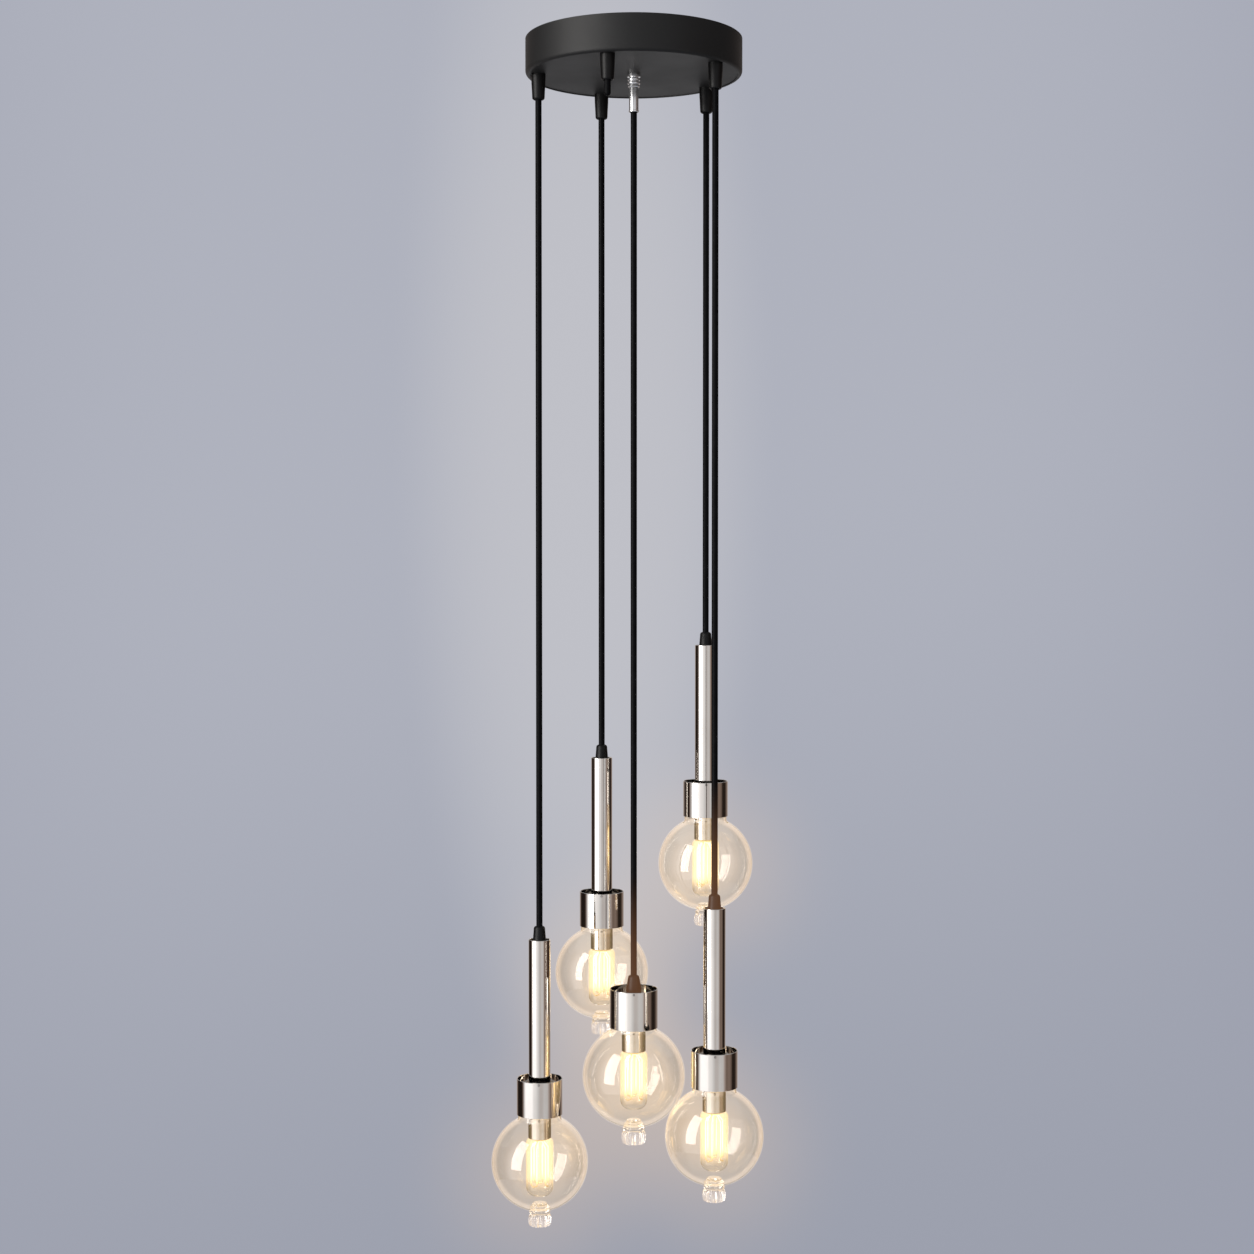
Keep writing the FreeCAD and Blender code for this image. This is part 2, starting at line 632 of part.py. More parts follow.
os.makedirs("parts", exist_ok=True)
make_canopy_group()
for pendant in PENDANTS:
    pendant.save_all()
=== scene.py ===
import logging
import math
from dataclasses import dataclass, field, replace
from enum import Enum
from functools import cache
from typing import Sequence, Union

import bmesh
import bpy
from mathutils import Matrix, Vector


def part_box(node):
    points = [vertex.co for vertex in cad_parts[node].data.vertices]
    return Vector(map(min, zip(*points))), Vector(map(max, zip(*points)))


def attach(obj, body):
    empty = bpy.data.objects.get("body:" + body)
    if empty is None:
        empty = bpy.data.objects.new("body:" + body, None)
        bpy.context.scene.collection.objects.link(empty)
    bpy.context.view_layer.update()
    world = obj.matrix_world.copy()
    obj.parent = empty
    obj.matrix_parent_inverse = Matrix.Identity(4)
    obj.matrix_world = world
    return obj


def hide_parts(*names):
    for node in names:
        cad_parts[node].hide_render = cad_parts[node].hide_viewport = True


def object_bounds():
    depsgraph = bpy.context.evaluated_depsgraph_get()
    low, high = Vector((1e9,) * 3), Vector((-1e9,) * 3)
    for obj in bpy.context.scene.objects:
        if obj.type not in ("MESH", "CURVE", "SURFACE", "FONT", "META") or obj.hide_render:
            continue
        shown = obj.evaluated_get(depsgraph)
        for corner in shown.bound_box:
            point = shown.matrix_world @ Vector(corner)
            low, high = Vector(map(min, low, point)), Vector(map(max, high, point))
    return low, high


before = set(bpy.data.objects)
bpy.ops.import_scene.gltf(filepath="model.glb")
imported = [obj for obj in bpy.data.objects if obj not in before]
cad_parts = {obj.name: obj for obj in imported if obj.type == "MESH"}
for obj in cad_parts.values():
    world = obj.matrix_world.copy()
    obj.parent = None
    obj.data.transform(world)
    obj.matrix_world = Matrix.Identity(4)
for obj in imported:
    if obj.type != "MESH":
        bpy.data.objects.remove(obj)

CAD_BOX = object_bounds()
MM = 0.001
LOG = logging.getLogger("cluster_pendant")

Colour = tuple[float, float, float]
Outline = Sequence[tuple[float, float]]
Number = Union[float, "Value"]
Shade = Union["Value", Colour]

MERGE_DISTANCE = 0.000002      # vertices nearer than this, in metres, are one
LIGHT_PASSED = 0.93            # share of the lamps' light that goes straight through glass
PENDANTS = range(1, 6)


# --- Shader expressions ---

class Value:
    """A shader socket that can stand in an arithmetic expression."""

    def __init__(self, graph: "Graph", socket: bpy.types.NodeSocket) -> None:
        """Wrap one output socket of a graph."""
        self.graph = graph
        self.socket = socket

    def maths(self, operation: str, *operands: Number) -> "Value":
        """A Math node of this value and the operands."""
        return self.graph.node("ShaderNodeMath", {"operation": operation}, {
            index: operand for index, operand in enumerate(operands)})

    def __add__(self, other: Number) -> "Value":
        """Sum."""
        return self.maths("ADD", self, other)

    def __sub__(self, other: Number) -> "Value":
        """Difference."""
        return self.maths("SUBTRACT", self, other)

    def __rsub__(self, other: Number) -> "Value":
        """Reflected difference, such as 1 - mask."""
        return self.maths("SUBTRACT", other, self)

    def __mul__(self, other: Number) -> "Value":
        """Product."""
        return self.maths("MULTIPLY", self, other)

    def __truediv__(self, other: Number) -> "Value":
        """Quotient."""
        return self.maths("DIVIDE", self, other)

    __radd__ = __add__
    __rmul__ = __mul__

    def clamped(self) -> "Value":
        """This value held between 0 and 1."""
        return self.graph.node("ShaderNodeClamp", {}, {"Value": self})

    def ramp(self, low: float, high: float) -> "Value":
        """A smooth step from 0 to 1 as this value goes from low to high."""
        return self.graph.node("ShaderNodeMapRange", {"interpolation_type": "SMOOTHSTEP"}, {
            "Value": self, "From Min": low, "From Max": high})


class Graph:
    """The node tree of a material or of the world."""

    def __init__(self, tree: bpy.types.NodeTree) -> None:
        """Start from an emptied tree."""
        self.tree = tree
        tree.nodes.clear()

    def node(self, kind: str, settings: dict, inputs: dict, output: Union[int, str] = 0) -> Value:
        """Add a node.

        Args:
            kind: the node's type.
            settings: attributes that are set before the sockets.
            inputs: values or links, by the socket's name or number.
            output: the output socket that is returned.

        Returns:
            The chosen output as a Value.
        """
        made = self.tree.nodes.new(kind)
        for name, setting in settings.items():
            setattr(made, name, setting)
        for name, given in inputs.items():
            if isinstance(given, Value):
                self.tree.links.new(given.socket, made.inputs[name])
            else:
                made.inputs[name].default_value = given
        return Value(self, made.outputs[output])

    def finish(self, kind: str, shader: Value) -> None:
        """Link a shader to an output node of the given type."""
        output = self.tree.nodes.new(kind)
        self.tree.links.new(shader.socket, output.inputs["Surface"])

    def position(self) -> Value:
        """The point on the piece, in the row frame."""
        return self.node("ShaderNodeTexCoord", {}, {}, "Object")

    def noise(self, scale: Colour, detail: float) -> Value:
        """Noise whose grain is scale times finer than a metre along each axis."""
        stretched = self.node("ShaderNodeMapping", {}, {"Vector": self.position(), "Scale": scale})
        return self.node("ShaderNodeTexNoise", {}, {
            "Vector": stretched, "Scale": 1.0, "Detail": detail})

    def mix(self, factor: Number, first: Shade, second: Shade, way: str = "MIX") -> Value:
        """Two colours, fixed or varying, mixed or, with another way, such as ADD, combined."""
        ends = [end if isinstance(end, Value) else (*end, 1.0) for end in (first, second)]
        return self.node("ShaderNodeMix", {"data_type": "RGBA", "blend_type": way}, {
            0: factor, 6: ends[0], 7: ends[1]}, 2)

    def bump(self, height: Value, depth: float, strength: float) -> Value:
        """A normal from a height that is depth metres high."""
        return self.node("ShaderNodeBump", {}, {
            "Strength": strength, "Distance": depth, "Height": height})

    def let_light_through(self) -> Value:
        """Opacity that is 1 to the eye and almost 0 to the light of lamps."""
        shadow_ray = self.node("ShaderNodeLightPath", {}, {}, "Is Shadow Ray")
        return 1.0 - shadow_ray * LIGHT_PASSED

    def axis(self, vector: Value, name: str) -> Value:
        """One part, X, Y or Z, of a vector."""
        return self.node("ShaderNodeSeparateXYZ", {}, {"Vector": vector}, name)


# --- Finishes ---

@dataclass(frozen=True)
class Finish:
    """A surface finish, made once as a material and then shared."""

    name: str

    @cache
    def material(self) -> bpy.types.Material:
        """The material of this finish, made when it is first asked for.

        Returns:
            The one material that all its pieces share.
        """
        made = bpy.data.materials.new(self.name)
        made.use_nodes = True
        graph = Graph(made.node_tree)
        graph.finish("ShaderNodeOutputMaterial", self.shade(graph))
        return made

    def shade(self, graph: Graph) -> Value:
        """The shader of this finish; each finish has its own.

        Args:
            graph: the material's emptied tree.

        Returns:
            The shader, not yet linked to the output.
        """
        raise NotImplementedError

    def dress(self, piece: bpy.types.Object) -> None:
        """Give a piece this finish only."""
        piece.data.materials.clear()
        piece.data.materials.append(self.material())


@dataclass(frozen=True)
class PowderCoat(Finish):
    """Fine textured powder coat, with a soft sheen."""

    colour: Colour = (0.011, 0.011, 0.0112)
    grain: float = 1500.0
    grain_depth: float = 0.00012

    def shade(self, graph: Graph) -> Value:
        """Speckled dark paint over fine orange peel."""
        grain = graph.noise((self.grain,) * 3, 2.0)
        cloud = graph.noise((14.0,) * 3, 3.0)
        speckle = (grain - 0.5) * 0.9 + cloud * 0.5
        lighter = tuple(channel * 1.8 for channel in self.colour)
        return graph.node("ShaderNodeBsdfPrincipled", {}, {
            "Base Color": graph.mix(speckle.clamped(), self.colour, lighter),
            "Roughness": 0.42 + cloud * 0.20,
            "Specular IOR Level": 0.24,
            "Normal": graph.bump(grain, self.grain_depth, 0.5)})


@dataclass(frozen=True)
class PolishedNickel(Finish):
    """Polished nickel plate, warm, with faint polishing lines; edge is a colour painted where it is
    seen aslant.
    """

    colour: Colour = (0.80, 0.755, 0.70)
    roughness: float = 0.05
    metallic: float = 1.0
    edge: Colour = (0.80, 0.755, 0.70)

    def shade(self, graph: Graph) -> Value:
        """A warm mirror with lines of polish and thin smears, and a painted reflection of the edge
        colour at its sides.
        """
        lines = graph.noise((2.0, 2.0, 5200.0), 2.0)
        smears = graph.noise((55.0, 55.0, 30.0), 3.0)
        darker = tuple(channel * 0.90 for channel in self.colour)
        plate = graph.mix(smears.ramp(0.45, 0.75) * 0.6, self.colour, darker)
        facing = graph.node("ShaderNodeLayerWeight", {}, {"Blend": 0.5}, "Facing")
        return graph.node("ShaderNodeBsdfPrincipled", {}, {
            # painted reflection: the edge colour where the surface is seen aslant
            "Base Color": graph.mix(facing.ramp(0.28, 0.62), plate, self.edge),
            "Metallic": self.metallic,
            "Roughness": self.roughness + smears * 0.03,
            "Normal": graph.bump(lines, 0.000002, 0.2)})


@dataclass(frozen=True)
class Moulded(Finish):
    """Moulded plastic or rubber with a fine skin."""

    colour: Colour = (0.010, 0.010, 0.0105)
    roughness: float = 0.36
    specular: float = 0.45
    lamp_light: float = 0.0
    lamp_heights: tuple[float, float] = (0.0, 1.0)
    lamp_colour: Colour = (1.0, 0.44, 0.20)

    def shade(self, graph: Graph) -> Value:
        """Plain dark plastic, uneven in gloss, with a painted warm glow of lamp light between two
        heights.
        """
        height = graph.axis(graph.position(), "Z")
        lit = height.ramp(self.lamp_heights[1], self.lamp_heights[0])
        skin = graph.noise((1800.0,) * 3, 2.0)
        wear = graph.noise((90.0,) * 3, 3.0)
        lighter = tuple(channel * 1.6 + 0.001 for channel in self.colour)
        return graph.node("ShaderNodeBsdfPrincipled", {}, {
            "Base Color": graph.mix(wear.ramp(0.4, 0.8), self.colour, lighter),
            "Roughness": self.roughness + wear * 0.12,
            "Specular IOR Level": self.specular,
            # painted lamp light: warm emission between the two heights
            "Emission Color": graph.mix(lit, (0.0, 0.0, 0.0), self.lamp_colour),
            "Emission Strength": self.lamp_light,
            "Normal": graph.bump(skin, 0.00002, 0.15)})


@dataclass(frozen=True)
class PlainMetal(Finish):
    """Zinc plate, brass or blackened steel of the small hidden parts."""

    colour: Colour = (0.62, 0.61, 0.58)
    roughness: float = 0.32

    def shade(self, graph: Graph) -> Value:
        """Metal with a clouded plate and fine scratches along X."""
        cloud = graph.noise((120.0,) * 3, 4.0)
        scratches = graph.noise((30.0, 2600.0, 2600.0), 2.0)
        darker = tuple(channel * 0.72 for channel in self.colour)
        return graph.node("ShaderNodeBsdfPrincipled", {}, {
            "Base Color": graph.mix(cloud.ramp(0.35, 0.7), darker, self.colour),
            "Metallic": 1.0,
            "Roughness": self.roughness + cloud * 0.15,
            "Normal": graph.bump(scratches, 0.00001, 0.5)})


@dataclass(frozen=True)
class ClearGlass(Finish):
    """Blown clear glass with a painted warm glow that stands for the lamp's light on it."""

    tint: Colour = (1.0, 0.985, 0.955)
    face_light: Colour = (0.38, 0.25, 0.09)
    rim_light: Colour = (1.6, 1.22, 0.86)
    knob_light: Colour = (0.95, 0.66, 0.36)
    knob_top: float = -9.0      # far below everything, for glass without a knob
    glow: float = 0.14

    def shade(self, graph: Graph) -> Value:
        """Clear glass with slow ripples from blowing, and a painted glow of lamp light, brightest
        at the rim and the knob.
        """
        ripples = graph.noise((45.0, 45.0, 70.0), 1.0)
        facing = graph.node("ShaderNodeLayerWeight", {}, {"Blend": 0.5}, "Facing")
        ring = facing.ramp(0.55, 0.62) * facing.ramp(0.72, 0.65)
        rim = (facing.ramp(0.45, 0.97) + ring * 0.35).clamped()
        # painted glow: warm emission for the lamp's light, stronger at the rim, in a ring and on
        # the knob
        painted_glow = graph.mix(rim, self.face_light, self.rim_light)
        knob = graph.axis(graph.position(), "Z").ramp(self.knob_top, self.knob_top - 0.004)
        return graph.node("ShaderNodeBsdfPrincipled", {}, {
            "Base Color": (*self.tint, 1.0),
            "Roughness": 0.0,
            "IOR": 1.47,
            "Transmission Weight": 1.0,
            "Alpha": graph.let_light_through(),
            "Emission Color": graph.mix(knob, painted_glow, self.knob_light),
            "Emission Strength": self.glow,
            "Normal": graph.bump(ripples, 0.00006, 0.5)})


@dataclass(frozen=True)
class LitGlass(Finish):
    """The lamp's own glass, with a painted glow beside the filaments and a faint one below them."""

    glow_end: float = 0.0
    glow_fade: float = 0.012
    # below and the glow colour under it are colours of painted glow, not of the glass
    below: Colour = (0.05, 0.032, 0.015)
    painted_glow_colour: Colour = (1.0, 0.72, 0.32)
    glow: float = 0.19

    def shade(self, graph: Graph) -> Value:
        """Clear glass with a painted glow that fades out under the filaments' lower end."""
        height = graph.axis(graph.position(), "Z")
        lit = height.ramp(self.glow_end - self.glow_fade, self.glow_end)
        return graph.node("ShaderNodeBsdfPrincipled", {}, {
            "Base Color": (1.0, 0.97, 0.92, 1.0),
            "Roughness": 0.0,
            "IOR": 1.45,
            "Transmission Weight": 1.0,
            "Alpha": graph.let_light_through(),
            "Emission Color": graph.mix(lit, self.below, self.painted_glow_colour),
            "Emission Strength": self.glow})


@dataclass(frozen=True)
class Glow(Finish):
    """A glowing filament, dimmer at its foot."""

    colour: Colour = (1.0, 0.80, 0.44)
    beat_colour: Colour = (1.0, 0.82, 0.50)
    bend_colour: Colour = (0.16, 0.10, 0.035)
    strength: float = 1.9
    foot: float = 0.0
    fade: float = 0.014

    def shade(self, graph: Graph) -> Value:
        """Emission with a faint beat along the wire, dimmer in the bends at its foot."""
        beat = graph.noise((300.0, 300.0, 120.0), 1.0)
        wire = graph.mix(beat.clamped(), self.colour, self.beat_colour)
        hot = graph.axis(graph.position(), "Z").ramp(self.foot + self.fade, self.foot)
        return graph.node("ShaderNodeBsdfPrincipled", {}, {
            "Base Color": (0.3, 0.2, 0.1, 1.0),
            "Emission Color": graph.mix(hot, wire, self.bend_colour),
            "Emission Strength": self.strength})


NICKEL = PolishedNickel("nickel_plate")
# the sleeve's dark brown edge colour is a painted dark warm reflection at its sides
SLEEVE_NICKEL = PolishedNickel("sleeve_nickel_plate", edge=(0.07, 0.035, 0.015))
CHROME = PolishedNickel("chrome_plate", colour=(0.86, 0.86, 0.87), roughness=0.12, metallic=0.85,
                        edge=(0.86, 0.86, 0.87))
CANOPY_PAINT = PowderCoat("canopy_powder_coat")
GRIP_PLASTIC = Moulded("grip_nylon", colour=(0.003, 0.003, 0.0032), specular=0.2)
CORD_PVC = Moulded("cord_pvc", colour=(0.002, 0.002, 0.0026), roughness=0.45, specular=0.06)
HOLDER_PLASTIC = Moulded("lampholder_phenolic", colour=(0.02, 0.018, 0.016))
TERMINAL_PLASTIC = Moulded("terminal_nylon", colour=(0.70, 0.69, 0.66), roughness=0.5)
ZINC = PlainMetal("zinc_plate")
BLACK_STEEL = PlainMetal("blackened_steel", colour=(0.03, 0.03, 0.03), roughness=0.4)
CAP_METAL = PlainMetal("cap_brass", colour=(0.68, 0.55, 0.34), roughness=0.28)
# the stem glass carries the same painted glow of lamp light
STEM_GLASS = ClearGlass("pressed_glass", glow=0.10)
# strength of the painted glow of lamp light on the cord and grip that hang before a lamp
LAMP_LIGHT = {3: 0.10, 5: 0.10}      # glow of the cord and grip that hang before a lamp


# --- Modelling ---

def deselect_all() -> None:
    """Leave nothing selected, so that the next operator acts on the new piece alone."""
    bpy.ops.object.select_all(action="DESELECT")


def activate(piece: bpy.types.Object) -> None:
    """Select one piece and make it the active one.

    Args:
        piece: what the next operators act on.
    """
    deselect_all()
    piece.select_set(True)
    bpy.context.view_layer.objects.active = piece


def apply_transform() -> None:
    """Put the place, turn and scale of the selected piece in its mesh."""
    bpy.ops.object.transform_apply(location=True, rotation=True, scale=True)


def new_piece(name: str) -> bpy.types.Object:
    """Name the object that was just added or converted.

    Args:
        name: its name and its mesh's.

    Returns:
        That object.
    """
    piece = bpy.context.object
    piece.name = name
    piece.data.name = name
    return piece


def finish_mesh(piece: bpy.types.Object, angle: float = 35.0) -> bpy.types.Object:
    """Merge doubles, turn all faces outwards and shade smooth by angle.

    Args:
        piece: a mesh object in object mode.
        angle: the sharpest turn, in degrees, that is shaded smooth.

    Returns:
        The same piece, with its place in its mesh.
    """
    activate(piece)
    bpy.ops.object.mode_set(mode="EDIT")
    bpy.ops.mesh.select_all(action="SELECT")
    bpy.ops.mesh.remove_doubles(threshold=MERGE_DISTANCE)
    bpy.ops.mesh.normals_make_consistent(inside=False)
    bpy.ops.object.mode_set(mode="OBJECT")
    apply_transform()
    bpy.ops.object.shade_smooth_by_angle(angle=math.radians(angle))
    return piece


def turn(name: str, outline: Outline, segments: int, loop: bool = False) -> bpy.types.Object:
    """A turned piece, made by extruding one ring of edges and scaling it at each step.

    Args:
        name: the piece's name.
        outline: (radius, height) of each ring in metres; a radius of 0 closes it at its axis.
        segments: edges in a ring.
        loop: True where the last ring joins the first, as on a wall with two faces.

    Returns:
        The piece, on the Z axis.
    """
    closed_start = outline[0][0] == 0
    rings = outline[1:] if closed_start else outline
    radius, height = rings[0]
    deselect_all()
    bpy.ops.mesh.primitive_circle_add(vertices=segments, radius=radius, location=(0, 0, height))
    piece = new_piece(name)
    apply_transform()
    bpy.ops.object.mode_set(mode="EDIT")
    bpy.ops.mesh.select_all(action="SELECT")
    for next_radius, next_height in rings[1:]:
        rise = (0.0, 0.0, next_height - height)
        bpy.ops.mesh.extrude_edges_move(TRANSFORM_OT_translate={"value": rise})
        if next_radius == 0:
            bpy.ops.mesh.merge(type="CENTER")
            break
        scale = next_radius / radius
        bpy.ops.transform.resize(value=(scale, scale, 1.0), center_override=(0, 0, next_height))
        radius, height = next_radius, next_height
    if loop or closed_start:
        close_turned(piece, segments, outline[0][1], loop)
    bpy.ops.object.mode_set(mode="OBJECT")
    return finish_mesh(piece)


def close_turned(piece: bpy.types.Object, segments: int, start_height: float, loop: bool) -> None:
    """Bridge the first and last ring, or draw the first one in to its middle, in edit mode.

    Args:
        piece: the turned piece.
        segments: edges in a ring; the first ring has the first vertices.
        start_height: height of the middle that the first ring is drawn in to.
        loop: True to bridge.
    """
    mesh = bmesh.from_edit_mesh(piece.data)
    mesh.verts.ensure_lookup_table()
    if not loop:
        bpy.ops.mesh.select_all(action="DESELECT")
    for vertex in mesh.verts[:segments]:
        vertex.select = True
    mesh.select_flush(True)
    bmesh.update_edit_mesh(piece.data)
    if loop:
        bpy.ops.mesh.bridge_edge_loops()
        return
    rise = start_height - mesh.verts[0].co.z
    bpy.ops.mesh.extrude_edges_move(TRANSFORM_OT_translate={"value": (0.0, 0.0, rise)})
    bpy.ops.mesh.merge(type="CENTER")


def arc_outline(centre: tuple[float, float], radius: float, start: float, end: float,
                steps: int) -> list[tuple[float, float]]:
    """Points of an outline along an arc.

    Args:
        centre: (radius, height) of the arc's middle.
        radius: the arc's own radius.
        start: angle in degrees, 0 pointing outwards and 90 up.
        end: the last angle.
        steps: number of steps between the two.

    Returns:
        steps + 1 points, both ends included.
    """
    points = []
    for step in range(steps + 1):
        angle = math.radians(start + (end - start) * step / steps)
        points.append((centre[0] + radius * math.cos(angle), centre[1] + radius * math.sin(angle)))
    return points


def angle_at(width: float, radius: float) -> float:
    """Angle in degrees above the middle at which an arc is width away from the axis."""
    return math.degrees(math.acos(width / radius))


def raised(base: float, *points: tuple[float, float]) -> list[tuple[float, float]]:
    """Points of an outline from (radius, height over the base), both in millimetres."""
    return [(radius * MM, base + height * MM) for radius, height in points]


def placed_copy(piece: bpy.types.Object, name: str, matrix: Matrix) -> bpy.types.Object:
    """A copy of a piece with its own mesh.

    Args:
        piece: the master piece.
        name: the copy's name.
        matrix: the copy's move, which goes into its mesh.

    Returns:
        The copy.
    """
    twin = piece.copy()
    twin.data = piece.data.copy()
    twin.name = name
    twin.data.name = name
    bpy.context.collection.objects.link(twin)
    twin.data.transform(matrix)
    return twin


def join(name: str, pieces: Sequence[bpy.types.Object]) -> bpy.types.Object:
    """Join loose shells into one piece.

    Args:
        name: the name of the whole.
        pieces: the shells; the first takes up the others.

    Returns:
        The joined piece.
    """
    activate(pieces[0])
    for piece in pieces:
        piece.select_set(True)
    bpy.ops.object.join()
    return new_piece(name)


def new_wire(name: str, kind: str, radius: float, roundness: int,
             places: Sequence[Vector]) -> bpy.types.Object:
    """A round wire, as a curve through a row of places.

    Args:
        name: the wire's name.
        kind: NURBS for a smooth curve, POLY for a bent one.
        radius: half its thickness.
        roundness: how finely its section is rounded.
        places: the curve's points.

    Returns:
        The curve's object.
    """
    curve = bpy.data.curves.new(name, "CURVE")
    curve.dimensions = "3D"
    curve.bevel_depth = radius
    curve.bevel_resolution = roundness
    spline = curve.splines.new(kind)
    spline.points.add(len(places) - 1)
    for point, place in zip(spline.points, places):
        point.co = (*place, 1.0)
    wire = bpy.data.objects.new(name, curve)
    bpy.context.collection.objects.link(wire)
    return wire


def discard(piece: bpy.types.Object) -> None:
    """Remove a master piece whose copies are in place."""
    bpy.data.objects.remove(piece, do_unlink=True)


def node_middle(node: str) -> tuple[float, float]:
    """X and Y of the middle of a CAD node."""
    low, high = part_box(node)
    return (low[0] + high[0]) / 2, (low[1] + high[1]) / 2


def node_radius(node: str) -> float:
    """Half the width of a round CAD node."""
    low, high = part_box(node)
    return max(high[0] - low[0], high[1] - low[1]) / 2


def node_heights(node: str) -> tuple[float, float]:
    """Lowest and highest Z of a CAD node."""
    low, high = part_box(node)
    return low[2], high[2]


def fit(piece: bpy.types.Object, body: str, slot: str, finish: Finish, *nodes: str) -> None:
    """Dress a piece, let it ride on its body and stand for its CAD nodes, and report it.

    Args:
        piece: the finished piece.
        body: the CAD body that it moves with.
        slot: not used.
        finish: its surface.
        nodes: the CAD nodes that it replaces.
    """
    finish.dress(piece)
    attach(piece, body)
    if nodes:
        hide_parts(*nodes)
    LOG.info("%s rides on %s", piece.name, body)


# --- Studio ---

@dataclass
class Softbox:
    """A rectangular studio lamp that points at the middle of the object."""

    name: str
    azimuth: float
    elevation: float
    distance: float
    size: tuple[float, float]
    power: float
    mirrored_only: bool = False
    colour: Colour = (1.0, 0.97, 0.93)

    def build(self, target: Vector) -> None:
        """Add the light, turned to the target.

        A mirrored_only softbox shows itself in metal and glass, and the others light the surfaces.

        Args:
            target: the point that it faces.
        """
        azimuth, elevation = math.radians(self.azimuth), math.radians(self.elevation)
        away = Vector((math.sin(azimuth) * math.cos(elevation),
                       -math.cos(azimuth) * math.cos(elevation), math.sin(elevation)))
        light = bpy.data.lights.new(self.name, "AREA")
        light.shape = "RECTANGLE"
        light.size, light.size_y = self.size
        light.energy = self.power
        light.color = self.colour
        lamp = bpy.data.objects.new(self.name, light)
        lamp.location = target + away * self.distance
        lamp.rotation_euler = away.to_track_quat("Z", "Y").to_euler()
        lamp.visible_diffuse = not self.mirrored_only
        lamp.visible_glossy = self.mirrored_only
        lamp.visible_transmission = self.mirrored_only
        bpy.context.collection.objects.link(lamp)


